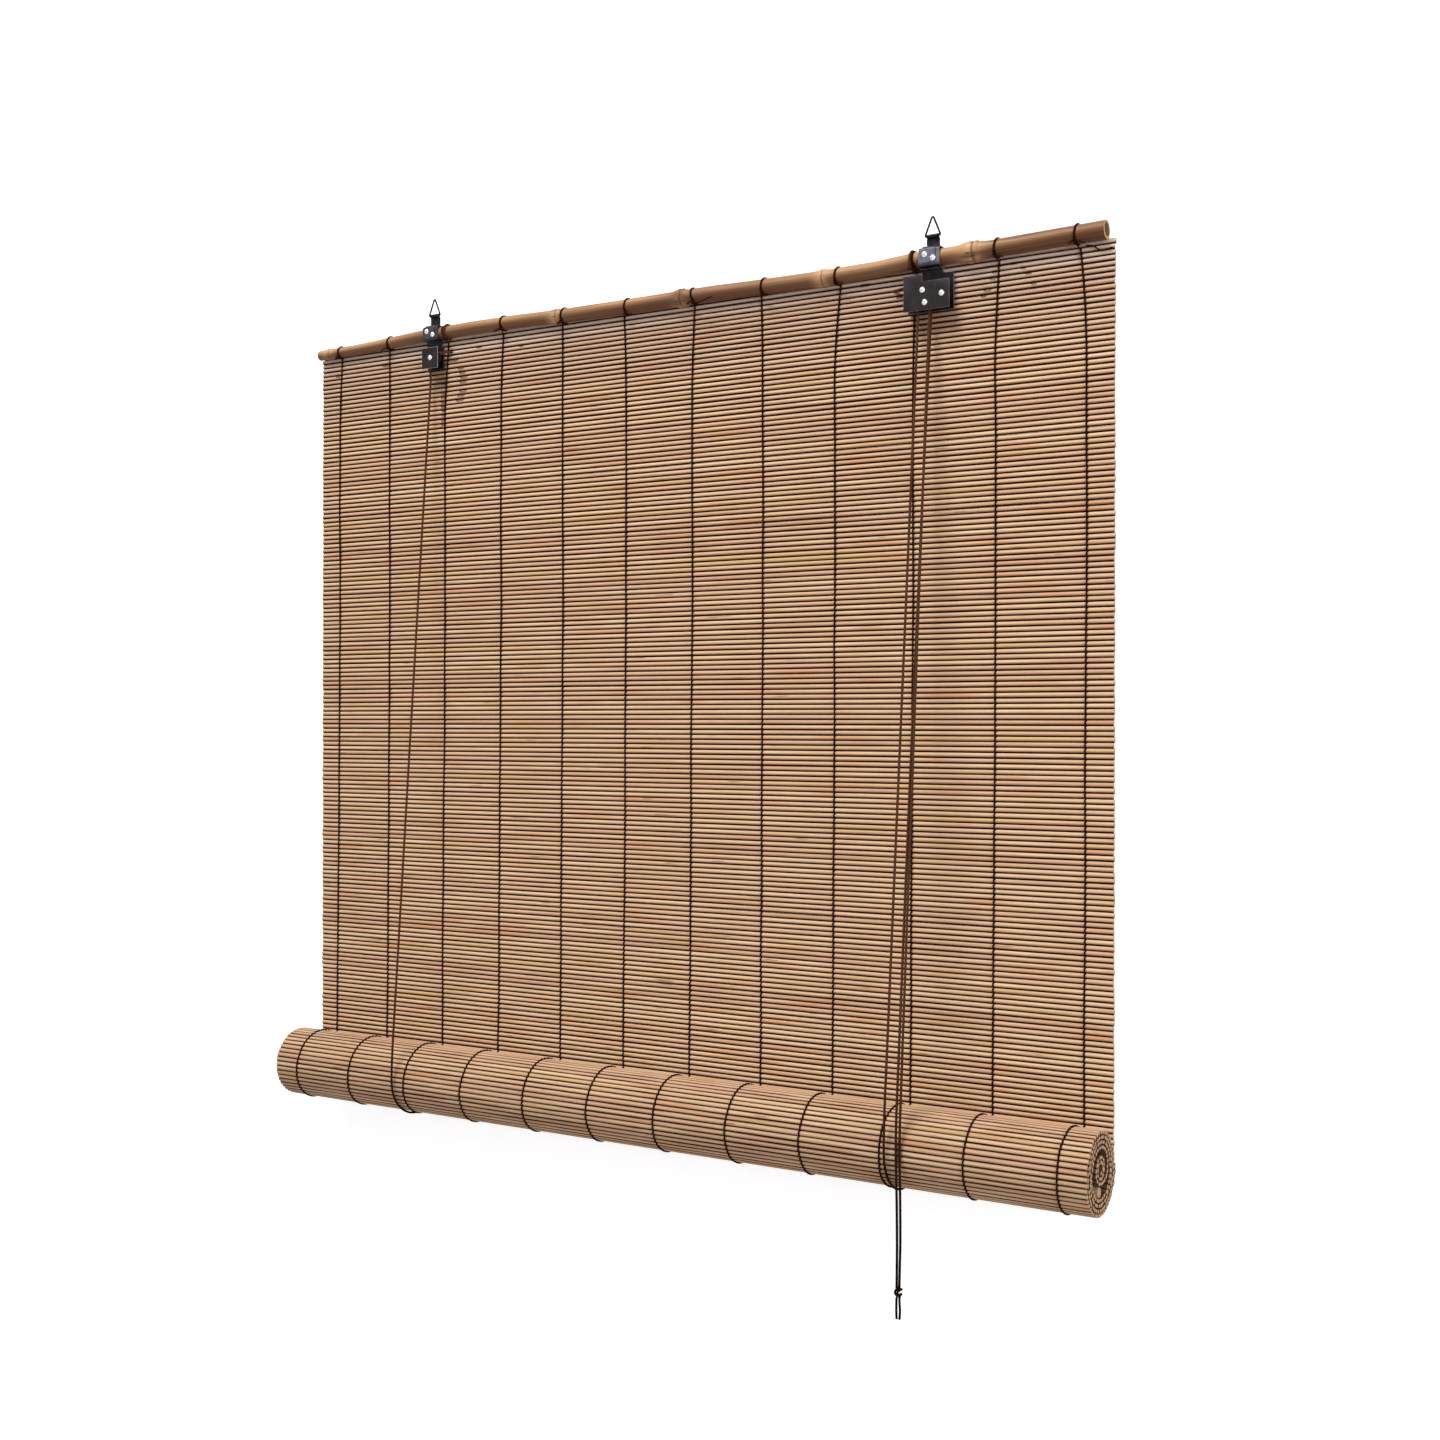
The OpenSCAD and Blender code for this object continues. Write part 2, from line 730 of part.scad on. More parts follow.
module right_pull_cord() {
    from = [[right_axle_x - cord_run_r, front_run_y, right_axle_z - lead]];
    over = [for (a = [180:-22.5:0])
        [right_axle_x + cord_run_r * cos(a), front_run_y, right_axle_z + cord_run_r * sin(a)]];
    color([0.25, 0.16, 0.11]) tube(concat(from, over, pull_front), cord_r);
}

module pull_knot() {
    color([0.25, 0.16, 0.11]) union() {
        translate(knot_at) rotate([90, 0, 0]) sphere(knot_r);
        for (x = [-1.5, 1.5]) {
            translate(knot_at + [x, 0, -26]) cylinder(h = 25, r = cord_r);
        }
    }
}

head_cane();
cane_lashings();
hanging_mat();
mat_threads();
left_strap();
right_strap();
left_ring_tab();
right_ring_tab();
left_tab_rivets();
right_tab_rivets();
left_ring();
right_ring();
left_front_plate();
right_front_plate();
left_axle();
right_axle();
left_pulley();
right_front_pulley();
right_rear_pulley();
left_spacer();
guide_sleeve();
guide_rivet();
lock_cam();
cam_rivet();
left_front_cord();
right_front_cord();
left_sling();
right_sling();
left_back_cord();
right_back_cord();
left_cord_loop();
right_cord_loop();
cross_cord();
left_pull_cord();
right_pull_cord();
pull_knot();
slat_roll();
roll_threads();
roll_rod();
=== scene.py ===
import math
import random

import bmesh
import bpy
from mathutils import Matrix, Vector, noise


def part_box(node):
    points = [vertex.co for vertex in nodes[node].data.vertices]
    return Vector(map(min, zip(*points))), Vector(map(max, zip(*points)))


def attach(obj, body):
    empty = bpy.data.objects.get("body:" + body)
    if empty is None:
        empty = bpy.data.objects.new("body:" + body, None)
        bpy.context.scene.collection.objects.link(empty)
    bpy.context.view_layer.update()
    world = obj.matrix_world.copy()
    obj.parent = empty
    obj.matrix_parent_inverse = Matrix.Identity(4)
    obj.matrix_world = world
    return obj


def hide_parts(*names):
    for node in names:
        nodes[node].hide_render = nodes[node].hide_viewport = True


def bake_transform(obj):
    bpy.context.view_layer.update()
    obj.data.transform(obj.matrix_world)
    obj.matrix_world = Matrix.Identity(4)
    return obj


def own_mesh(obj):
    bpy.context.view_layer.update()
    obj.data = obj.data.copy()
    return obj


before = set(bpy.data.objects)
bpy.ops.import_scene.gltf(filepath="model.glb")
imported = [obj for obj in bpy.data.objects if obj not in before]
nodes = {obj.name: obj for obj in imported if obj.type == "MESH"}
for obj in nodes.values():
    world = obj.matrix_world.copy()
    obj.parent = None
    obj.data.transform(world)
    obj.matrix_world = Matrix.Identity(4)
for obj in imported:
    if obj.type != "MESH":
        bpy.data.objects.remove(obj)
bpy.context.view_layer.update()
scene = bpy.context.scene
mm = 0.001
print("frame loaded,", len(nodes), "nodes")


# camera: level, to the right of the blind and turned towards its middle
view = {"eye": (1.0227, -1.5468, -0.4923), "turn": 31.52, "lens": 42.98, "sensor": 36}
camera = bpy.data.objects.new("camera", bpy.data.cameras.new("camera"))
camera.data.sensor_width = view["sensor"]
camera.data.lens = view["lens"]
camera.location = view["eye"]
camera.rotation_euler = (math.radians(90), 0, math.radians(view["turn"]))
scene.collection.objects.link(camera)
scene.camera = camera
bpy.context.view_layer.update()


# helpers for nodes

def addNode(tree, kind, inputs=None, **settings):  # inputs: an output to join to each, or a plain value
    node = tree.nodes.new(kind)
    for key, value in settings.items():
        setattr(node, key, value)
    for socket, source in (inputs or {}).items():
        if isinstance(source, bpy.types.NodeSocket):
            tree.links.new(source, node.inputs[socket])
        else:
            node.inputs[socket].default_value = source
    return node


def calc(tree, operation, *values, clamp=False):
    inputs = dict(enumerate(values))
    return addNode(tree, "ShaderNodeMath", inputs, operation=operation, use_clamp=clamp).outputs[0]


def spread(tree, value, low, high, toLow=0.0, toHigh=1.0):  # soft step between two values
    inputs = {"Value": value, "From Min": low, "From Max": high, "To Min": toLow, "To Max": toHigh}
    return addNode(tree, "ShaderNodeMapRange", inputs, interpolation_type="SMOOTHSTEP").outputs["Result"]


def mixColour(tree, factor, first, second, blend="MIX"):
    inputs = {0: factor, 6: first, 7: second}  # 6 and 7 are the node's colour sockets
    return addNode(tree, "ShaderNodeMix", inputs, data_type="RGBA", blend_type=blend).outputs[2]


def ramp(tree, factor, look):  # colour ramp through the tones that a look names
    node = addNode(tree, "ShaderNodeValToRGB", {"Fac": factor})
    marks = node.color_ramp.elements
    while len(marks) < len(look["tones"]):
        marks.new(0.5)
    for mark, (place, colour) in zip(marks, look["tones"]):
        mark.position = place
        mark.color = look[colour]
    return node.outputs["Color"]


def cloud(tree, place, scale, detail):
    inputs = {"Vector": place, "Scale": scale, "Detail": detail}
    return addNode(tree, "ShaderNodeTexNoise", inputs).outputs["Fac"]


def objectPlace(tree):
    return addNode(tree, "ShaderNodeTexCoord").outputs["Object"]


def objectHeight(tree):
    return addNode(tree, "ShaderNodeSeparateXYZ", {0: objectPlace(tree)}).outputs["Z"]


def attribute(tree, name, out="Fac"):
    return addNode(tree, "ShaderNodeAttribute", attribute_name=name).outputs[out]


def tint(red, green, blue):  # screen colour, 0 to 255, as the renderer counts it
    parts = []
    for c in (red / 255, green / 255, blue / 255):
        parts.append(c / 12.92 if c <= 0.04045 else ((c + 0.055) / 1.055) ** 2.4)
    return (*parts, 1.0)


def effectGroup(name, inputs, outputs):
    tree = bpy.data.node_groups.new(name, "ShaderNodeTree")
    for label, value in inputs:
        socket = tree.interface.new_socket(label, in_out="INPUT", socket_type="NodeSocketFloat")
        socket.default_value = value
    for label in outputs:
        tree.interface.new_socket(label, in_out="OUTPUT", socket_type="NodeSocketFloat")
    return tree, tree.nodes.new("NodeGroupInput").outputs, tree.nodes.new("NodeGroupOutput").inputs


def useGroup(tree, group, **values):
    return addNode(tree, "ShaderNodeGroup", values, node_tree=group).outputs


# effects that several finishes share

# bamboo fibre: fine streaks, wide patches, warm patches and short dark flecks
fibreMarks = {"patch": (9.0, 60.0, 60.0), "fleck": (26.0, 420.0, 420.0), "fleckAt": (0.69, 0.77)}
fibreGroup, fibreIn, fibreOut = effectGroup(
    "bamboo fibre", [("Along", 6.0), ("Across", 700.0), ("Seed", 0.0)], ["Streak", "Patch", "Warm", "Fleck"])
fibrePlace = objectPlace(fibreGroup)


def fibreNoise(stretch, seed, scale, detail):
    place = addNode(fibreGroup, "ShaderNodeVectorMath", {0: fibrePlace, 1: stretch}, operation="MULTIPLY")
    inputs = {"Vector": place.outputs[0], "W": seed, "Scale": scale, "Detail": detail}
    return addNode(fibreGroup, "ShaderNodeTexNoise", inputs, noise_dimensions="4D").outputs["Fac"]


streakSize = addNode(fibreGroup, "ShaderNodeCombineXYZ", {
    "X": fibreIn["Along"], "Y": fibreIn["Across"], "Z": fibreIn["Across"]}).outputs[0]
patchSeed = calc(fibreGroup, "MULTIPLY", fibreIn["Seed"], 17.0)
warmSeed = calc(fibreGroup, "MULTIPLY_ADD", fibreIn["Seed"], 3.1, 5.0)
fleckNoise = fibreNoise(fibreMarks["fleck"], patchSeed, 1.0, 1.0)
for label, value in (
        ("Streak", fibreNoise(streakSize, fibreIn["Seed"], 1.0, 3.0)),
        ("Patch", fibreNoise(fibreMarks["patch"], patchSeed, 1.0, 2.0)),
        ("Warm", fibreNoise(fibreMarks["patch"], warmSeed, 1.3, 1.0)),
        ("Fleck", spread(fibreGroup, fleckNoise, *fibreMarks["fleckAt"]))):
    fibreGroup.links.new(value, fibreOut[label])

# laid yarn: strands that wind one way, or both ways where the yarn is braided
plyGroup, plyIn, plyOut = effectGroup(
    "laid yarn", [("Strands", 3.0), ("Pitch", 0.004), ("Cross", 0.0)], ["Height"])
ringPlace = addNode(plyGroup, "ShaderNodeSeparateXYZ", {0: attribute(plyGroup, "ring", "Vector")}).outputs
roundAt = calc(plyGroup, "ARCTAN2", ringPlace["Y"], ringPlace["X"])
turnAt = calc(plyGroup, "MULTIPLY", roundAt, plyIn["Strands"])
pitchAt = calc(plyGroup, "DIVIDE", attribute(plyGroup, "along"), plyIn["Pitch"])
runAt = calc(plyGroup, "MULTIPLY", pitchAt, 2 * math.pi)
rightLay = calc(plyGroup, "SINE", calc(plyGroup, "ADD", turnAt, runAt))
leftLay = calc(plyGroup, "SINE", calc(plyGroup, "SUBTRACT", turnAt, runAt))
braided = calc(plyGroup, "MAXIMUM", rightLay, leftLay)
layMix = calc(plyGroup, "ADD", calc(plyGroup, "MULTIPLY", braided, plyIn["Cross"]),
              calc(plyGroup, "MULTIPLY", rightLay, calc(plyGroup, "SUBTRACT", 1.0, plyIn["Cross"])))
plyGroup.links.new(calc(plyGroup, "MULTIPLY_ADD", layMix, 0.5, 0.5), plyOut["Height"])

# worn metal: rubbed edges, lighter both as worn paint and as a painted highlight, smudges and a fine grain
wearMarks = {"smudgeDetail": 4.0, "grainScale": 2600.0, "grainDetail": 2.0, "rubAt": (0.35, 0.65)}
wearGroup, wearIn, wearOut = effectGroup(
    "worn metal", [("Scale", 300.0), ("Rub", 0.5)], ["Edge", "Smudge", "Grain"])
metalPlace = objectPlace(wearGroup)
smudge = cloud(wearGroup, metalPlace, wearIn["Scale"], wearMarks["smudgeDetail"])
grain = cloud(wearGroup, metalPlace, wearMarks["grainScale"], wearMarks["grainDetail"])
rubbed = calc(wearGroup, "ADD", smudge, calc(wearGroup, "SUBTRACT", wearIn["Rub"], 0.5))
rubbedEdgeAndHighlight = calc(wearGroup, "MULTIPLY", attribute(wearGroup, "worn"),
                  spread(wearGroup, rubbed, *wearMarks["rubAt"]))
for label, value in (("Smudge", smudge), ("Grain", grain), ("Edge", rubbedEdgeAndHighlight)):
    wearGroup.links.new(value, wearOut[label])
print("shared effects ready")


# finishes; a name that ends in At is a soft step: from, to, value at the first, value at the second

def newFinish(name, **plain):
    material = bpy.data.materials.new(name)
    material.use_nodes = True
    shader = material.node_tree.nodes["Principled BSDF"]
    for label, value in plain.items():
        shader.inputs[label.replace("_", " ")].default_value = value
    return material, material.node_tree, shader


def bump(tree, shader, height, distance):
    node = addNode(tree, "ShaderNodeBump", {"Height": height, "Distance": distance, "Strength": 1.0})
    tree.links.new(node.outputs["Normal"], shader.inputs["Normal"])


slatLook = {
    "straw": tint(224, 190, 154), "tan": tint(216, 178, 144), "pink": tint(212, 170, 141),
    "honey": tint(210, 174, 126), "orange": tint(208, 148, 104), "brown": tint(202, 160, 128),
    # painted shade: slats darken towards their lower edges and in the gaps between them
    "under": tint(132, 88, 53), "groove": tint(34, 12, 2), "cut": tint(206, 166, 130),
    # painted shade and painted light close under the cane: a greyish tint and a paler colour
    "fleck": tint(92, 56, 34), "caneShadeTint": tint(176, 146, 130), "pale": tint(238, 212, 194),
    "tones": ((0.3, "brown"), (0.42, "pink"), (0.52, "tan"), (0.6, "straw"), (0.7, "tan"), (0.78, "honey")),
    "toneShare": 0.34, "patchShare": 0.74, "fleckShare": 0.55, "cutShare": 0.85, "innerShadeShare": 0.8,
    "orangeAt": (0.56, 0.72, 0.0, 0.6), "honeyAt": (0.44, 0.3, 0.0, 0.4), "lightAt": (0.3, 0.7, 0.88, 1.05),
    "caneShadeTintAt": (-0.16, -0.05, 0.0, 0.6), "caneLightAt": (-0.072, -0.055, 0.0, 0.9),
    "underAt": (0.2, -0.6, 0.0, 0.85), "raggedAt": (0.3, 0.7, -0.07, 0.07),
    "upperGapShadeAt": (0.76, 0.92), "lowerGapShadeAt": (-0.38, -0.66), "roughAt": (0.25, 0.75, 0.62, 0.48),
    "rolledEdge": -0.76, "rolledShadeShare": -0.62, "tipGapShade": -0.45,
    "along": 7.0, "across": 900.0, "seedStep": 37.0, "gloss": 0.05, "grainDepth": 0.2 * mm,
}


def slatFinish(look):
    material, tree, shader = newFinish("slat bamboo", Specular_IOR_Level=look["gloss"])
    tone = attribute(tree, "slatTone")
    height = attribute(tree, "height")  # -1 at a slat's lower edge, 1 at its upper edge
    rolled = attribute(tree, "rolled")  # 1 on the roll
    tip = attribute(tree, "tip")  # 1 at a slat's cut ends
    seed = calc(tree, "MULTIPLY", tone, look["seedStep"])
    fibre = useGroup(tree, fibreGroup, Along=look["along"], Across=look["across"], Seed=seed)

    # tone of each slat, warm streaks, grain and flecks
    mixAt = calc(tree, "ADD", calc(tree, "MULTIPLY", tone, look["toneShare"]),
                 calc(tree, "MULTIPLY", fibre["Patch"], look["patchShare"]))
    base = ramp(tree, mixAt, look)
    base = mixColour(tree, spread(tree, fibre["Warm"], *look["orangeAt"]), base, look["orange"])
    base = mixColour(tree, spread(tree, fibre["Warm"], *look["honeyAt"]), base, look["honey"])
    light = spread(tree, fibre["Streak"], *look["lightAt"])
    grey = addNode(tree, "ShaderNodeCombineColor", {0: light, 1: light, 2: light}).outputs[0]
    base = mixColour(tree, 1.0, base, grey, "MULTIPLY")
    base = mixColour(tree, calc(tree, "MULTIPLY", fibre["Fleck"], look["fleckShare"]), base, look["fleck"])

    # painted shade and then painted light on the slats close under the cane: a greyish tint, then a paler
    # colour against the cane's cast shadow
    high = objectHeight(tree)
    base = mixColour(tree, spread(tree, high, *look["caneShadeTintAt"]), base, look["caneShadeTint"])
    base = mixColour(tree, spread(tree, high, *look["caneLightAt"]), base, look["pale"])

    # painted shade: hanging slats darken towards the lower edge, rolled ones towards both edges
    bothEdges = calc(tree, "MULTIPLY", calc(tree, "ABSOLUTE", height), look["rolledEdge"])
    lowEdge = calc(tree, "ADD", calc(tree, "MULTIPLY", height, calc(tree, "SUBTRACT", 1.0, rolled)),
                   calc(tree, "MULTIPLY", bothEdges, rolled))
    shaded = calc(tree, "MULTIPLY", spread(tree, lowEdge, *look["underAt"]),
                  calc(tree, "MULTIPLY_ADD", rolled, look["rolledShadeShare"], 1.0))
    base = mixColour(tree, shaded, base, look["under"])
    base = mixColour(tree, calc(tree, "MULTIPLY", tip, look["cutShare"]), base, look["cut"])

    # painted shade: dark grooves between the slats and dark inner turns of the roll
    ragged = calc(tree, "ADD", lowEdge, spread(tree, fibre["Patch"], *look["raggedAt"]))
    groove = calc(tree, "MAXIMUM", spread(tree, height, *look["upperGapShadeAt"]),
                  spread(tree, ragged, *look["lowerGapShadeAt"]))
    groove = calc(tree, "MULTIPLY", groove, calc(tree, "MULTIPLY_ADD", tip, look["tipGapShade"], 1.0))
    innerShade = calc(tree, "MULTIPLY", attribute(tree, "innerShade"),
                  calc(tree, "MULTIPLY_ADD", tip, -look["innerShadeShare"], look["innerShadeShare"]))
    base = mixColour(tree, calc(tree, "MAXIMUM", groove, innerShade), base, look["groove"])
    tree.links.new(base, shader.inputs["Base Color"])
    tree.links.new(spread(tree, fibre["Streak"], *look["roughAt"]), shader.inputs["Roughness"])
    bump(tree, shader, fibre["Streak"], look["grainDepth"])
    return material


caneLook = {
    "light": tint(172, 130, 84), "mid": tint(134, 92, 58), "dark": tint(94, 57, 35),
    "pale": tint(198, 152, 108), "under": tint(76, 41, 25), "scar": tint(206, 160, 116),
    "rim": tint(62, 32, 20), "inside": tint(200, 164, 120),
    "tones": ((0.38, "dark"), (0.52, "mid"), (0.66, "light")),
    "streakShare": 0.5, "patchShare": 0.55, "scarShare": 0.75, "fleckShare": 0.4, "rimShare": 0.7,
    "underAt": (0.55, -0.45, 0.0, 0.74), "scarAt": (0.35, 0.6), "speckAt": (0.44, 0.36, 0.0, 0.8),
    "roughAt": (0.3, 0.75, 0.58, 0.4), "speckPower": 3.0,
    "along": 5.0, "across": 520.0, "seed": 3.0, "gloss": 0.24, "grainDepth": 0.4 * mm,
}


def caneFinish(look):
    material, tree, shader = newFinish("head cane", Specular_IOR_Level=look["gloss"])
    fibre = useGroup(tree, fibreGroup, Along=look["along"], Across=look["across"], Seed=look["seed"])
    mixAt = calc(tree, "ADD", calc(tree, "MULTIPLY", fibre["Streak"], look["streakShare"]),
                 calc(tree, "MULTIPLY", fibre["Patch"], look["patchShare"]))
    base = ramp(tree, mixAt, look)
    base = mixColour(tree, attribute(tree, "pale"), base, look["pale"])
    # painted shade: the cane darkens towards its underside
    base = mixColour(tree, spread(tree, attribute(tree, "height"), *look["underAt"]), base, look["under"])

    # scarred skin, specks and dark rims at the knuckles; the rim colour also paints shade inside the hollow
    # ends
    knuckle = attribute(tree, "knuckle")
    scar = calc(tree, "MULTIPLY", knuckle, spread(tree, fibre["Patch"], *look["scarAt"]))
    base = mixColour(tree, calc(tree, "MULTIPLY", scar, look["scarShare"]), base, look["scar"])
    speck = calc(tree, "MULTIPLY", calc(tree, "POWER", knuckle, look["speckPower"]),
                 spread(tree, fibre["Streak"], *look["speckAt"]))
    fleck = calc(tree, "MULTIPLY", fibre["Fleck"], look["fleckShare"])
    base = mixColour(tree, calc(tree, "MAXIMUM", fleck, speck), base, look["rim"])
    base = mixColour(tree, attribute(tree, "cut"), base, look["inside"])
    rim = calc(tree, "MULTIPLY", attribute(tree, "rim"), look["rimShare"])
    base = mixColour(tree, rim, base, look["rim"])
    tree.links.new(base, shader.inputs["Base Color"])
    tree.links.new(spread(tree, mixAt, *look["roughAt"]), shader.inputs["Roughness"])
    bump(tree, shader, mixAt, look["grainDepth"])
    return material


yarnLook = {
    "thread": {"name": "warp thread", "dark": tint(26, 9, 4), "light": tint(68, 32, 18),
               "strands": 2.0, "pitch": 0.0026, "cross": 0.0, "depth": 0.0003, "rough": 0.8},
    "cord": {"name": "lift cord", "dark": tint(42, 24, 15), "light": tint(102, 68, 46),
             "strands": 4.0, "pitch": 0.0055, "cross": 1.0, "depth": 0.0003, "rough": 0.75,
             "darkEnd": tint(9, 7, 7), "darkEndAt": (-0.76, -0.98, 0.0, 0.93)},
}
yarnFuzz = {"scale": 900.0, "detail": 3.0, "lightAt": (0.25, 0.75, 0.6, 1.1), "share": 0.5, "gloss": 0.01}


def yarnFinish(look):
    material, tree, shader = newFinish(
        look["name"], Roughness=look["rough"], Specular_IOR_Level=yarnFuzz["gloss"])
    lay = useGroup(tree, plyGroup, Strands=look["strands"], Pitch=look["pitch"], Cross=look["cross"])["Height"]
    fuzz = cloud(tree, objectPlace(tree), yarnFuzz["scale"], yarnFuzz["detail"])
    # painted shade: the yarn is darker in the valleys between its strands
    mixAt = calc(tree, "MULTIPLY", lay, spread(tree, fuzz, *yarnFuzz["lightAt"]), clamp=True)
    base = mixColour(tree, mixAt, look["dark"], look["light"])
    if "darkEnd" in look:  # darker towards the bottom, nearly black at the hanging ends
        base = mixColour(tree, spread(tree, objectHeight(tree), *look["darkEndAt"]), base, look["darkEnd"])
    tree.links.new(base, shader.inputs["Base Color"])
    rough = calc(tree, "ADD", lay, calc(tree, "MULTIPLY", fuzz, yarnFuzz["share"]))
    bump(tree, shader, rough, look["depth"])
    return material


strapSteel = {"dark": tint(24, 20, 22), "light": tint(38, 34, 37), "metallic": 0.6, "rough": (0.44, 0.3),
              "scale": 180, "rub": 0.6}
steelLook = {
    "plate": {"name": "black steel plate", "dark": tint(30, 24, 24), "light": tint(44, 37, 38),
              "edge": tint(170, 160, 156), "metallic": 0.3, "rough": (0.52, 0.4), "scale": 90, "rub": 0.85},
    # both straps are one steel; each has a painted reflection on its front, dimmer on the left and brighter on
    # the right
    "leftStrap": {"name": "dark steel strap", **strapSteel, "edge": tint(150, 144, 148),
                  "paintedSheen": tint(78, 76, 86)},
    "rightStrap": {"name": "grey steel strap", **strapSteel, "edge": tint(160, 156, 162),
                   "paintedSheen": tint(116, 117, 134)},
    "wire": {"name": "ring wire", "dark": tint(16, 14, 15), "light": tint(28, 26, 27),
             "edge": tint(80, 76, 74), "metallic": 0.6, "rough": (0.44, 0.32), "scale": 500, "rub": 0.4},
    "rivet": {"name": "rivet steel", "dark": tint(196, 196, 194), "light": tint(226, 226, 224),
              "edge": tint(240, 240, 240), "metallic": 1.0, "rough": (0.36, 0.2), "scale": 700, "rub": 0.4},
    "pulley": {"name": "pulley plastic", "dark": tint(40, 38, 38), "light": tint(54, 51, 50),
               "edge": tint(80, 77, 75), "metallic": 0.0, "rough": (0.55, 0.42), "scale": 240, "rub": 0.4},
    "brass": {"name": "cam brass", "dark": tint(176, 138, 72), "light": tint(204, 168, 98),
              "edge": tint(226, 200, 140), "metallic": 1.0, "rough": (0.45, 0.3), "scale": 300, "rub": 0.5},
}
steelSheen = {"gloss": 0.2, "toneAt": (0.3, 0.7), "roughAt": (0.25, 0.75), "grainDepth": 0.00004,
              "lowBendAt": (-0.0495, -0.0435), "highBendAt": (-0.0305, -0.0345),
              "sheenPatchAt": (0.25, 0.7, 0.6, 1.0)}


def steelFinish(look):
    material, tree, shader = newFinish(
        look["name"], Metallic=look["metallic"], Specular_IOR_Level=steelSheen["gloss"])
    wear = useGroup(tree, wearGroup, Scale=look["scale"], Rub=look["rub"])
    base = mixColour(tree, spread(tree, wear["Smudge"], *steelSheen["toneAt"]), look["dark"], look["light"])
    # painted reflection: the strap's front is painted bright between its lower and its upper bend
    if "paintedSheen" in look:  # the strap's front, bright between its lower and its upper bend
        high = objectHeight(tree)
        band = calc(tree, "MULTIPLY", spread(tree, high, *steelSheen["lowBendAt"]),
                    spread(tree, high, *steelSheen["highBendAt"]))
        bright = calc(tree, "MULTIPLY", band, spread(tree, wear["Smudge"], *steelSheen["sheenPatchAt"]))
        base = mixColour(tree, bright, base, look["paintedSheen"])
    # rubbed edges: worn paint and a painted highlight in one lighter colour
    tree.links.new(mixColour(tree, wear["Edge"], base, look["edge"]), shader.inputs["Base Color"])
    rough = spread(tree, wear["Smudge"], *steelSheen["roughAt"], *look["rough"])
    tree.links.new(rough, shader.inputs["Roughness"])
    bump(tree, shader, wear["Grain"], steelSheen["grainDepth"])
    return material


finish = {"slat": slatFinish(slatLook), "cane": caneFinish(caneLook)}
finish.update({key: yarnFinish(look) for key, look in yarnLook.items()})
finish.update({key: steelFinish(look) for key, look in steelLook.items()})
print("finishes ready:", len(finish))


# builders

def shares(count):  # even steps from 0 to 1
    return [k / count for k in range(count + 1)]


def soften(t):  # slow start and slow end
    return t * t * (3 - 2 * t)


def clamped(t):
    return max(0.0, min(1.0, t))


def between(marks, x):  # value at x on straight lines through (place, value) marks
    for (a, low), (b, high) in zip(marks, marks[1:]):
        if x <= b:
            return low + (high - low) * (x - a) / (b - a)
    return marks[-1][1]


def newPiece(name, mesh):
    piece = bpy.data.objects.new(name, mesh)
    scene.collection.objects.link(piece)
    return piece


def markPoints(mesh, label, values):
    mesh.attributes.new(label, "FLOAT", "POINT").data.foreach_set("value", values)


def joinRings(first, second, sides):  # faces between two rings of points
    faces = []
    for k in range(sides):
        j = (k + 1) % sides
        faces.append((first * sides + k, first * sides + j, second * sides + j, second * sides + k))
    return faces


def closedMesh(name, spots, faces, marks):  # faces outwards, with a value at each point for every mark
    mesh = bpy.data.meshes.new(name)
    mesh.from_pydata(spots, [], faces)
    for label, values in marks.items():
        markPoints(mesh, label, values)
    shape = bmesh.new()
    shape.from_mesh(mesh)
    bmesh.ops.recalc_face_normals(shape, faces=shape.faces)
    shape.to_mesh(mesh)
    shape.free()
    return mesh


def smoothPiece(name, mesh, sharpAngle, look):
    mesh.polygons.foreach_set("use_smooth", [True] * len(mesh.polygons))
    mesh.set_sharp_from_angle(angle=math.radians(sharpAngle))
    mesh.materials.append(finish[look])
    return newPiece(name, mesh)


def treeFor(name, inputs):
    tree = bpy.data.node_groups.new(name, "GeometryNodeTree")
    tree.interface.new_socket("Geometry", in_out="INPUT", socket_type="NodeSocketGeometry")
    for label, kind, value in inputs:
        socket = tree.interface.new_socket(label, in_out="INPUT", socket_type="NodeSocket" + kind)
        if value is not None:
            socket.default_value = value
    tree.interface.new_socket("Geometry", in_out="OUTPUT", socket_type="NodeSocketGeometry")
    return tree, tree.nodes.new("NodeGroupInput").outputs, tree.nodes.new("NodeGroupOutput").inputs


def grow(source, tree, values, name):  # runs a tree on a carrier mesh and keeps a plain mesh
    step = source.modifiers.new("build", "NODES")
    step.node_group = tree
    known = {}
    for socket in tree.interface.items_tree:
        if socket.item_type == "SOCKET" and socket.in_out == "INPUT":
            known[socket.name] = socket.identifier
    for label, value in values.items():
        step[known[label]] = value
    ready = bpy.context.evaluated_depsgraph_get()
    mesh = bpy.data.meshes.new_from_object(source.evaluated_get(ready), depsgraph=ready)
    source.modifiers.remove(step)
    bpy.data.objects.remove(source)
    mesh.name = name
    return newPiece(name, mesh)


def store(tree, geometry, name, value, kind="FLOAT", domain="POINT"):
    inputs = {"Geometry": geometry, "Name": name, "Value": value}
    node = addNode(tree, "GeometryNodeStoreNamedAttribute", inputs, data_type=kind, domain=domain)
    return node.outputs["Geometry"]


def through(tree, kind, geometry, **inputs):  # a node that takes geometry and passes it on
    return addNode(tree, kind, {"Geometry": geometry, **inputs}).outputs["Geometry"]


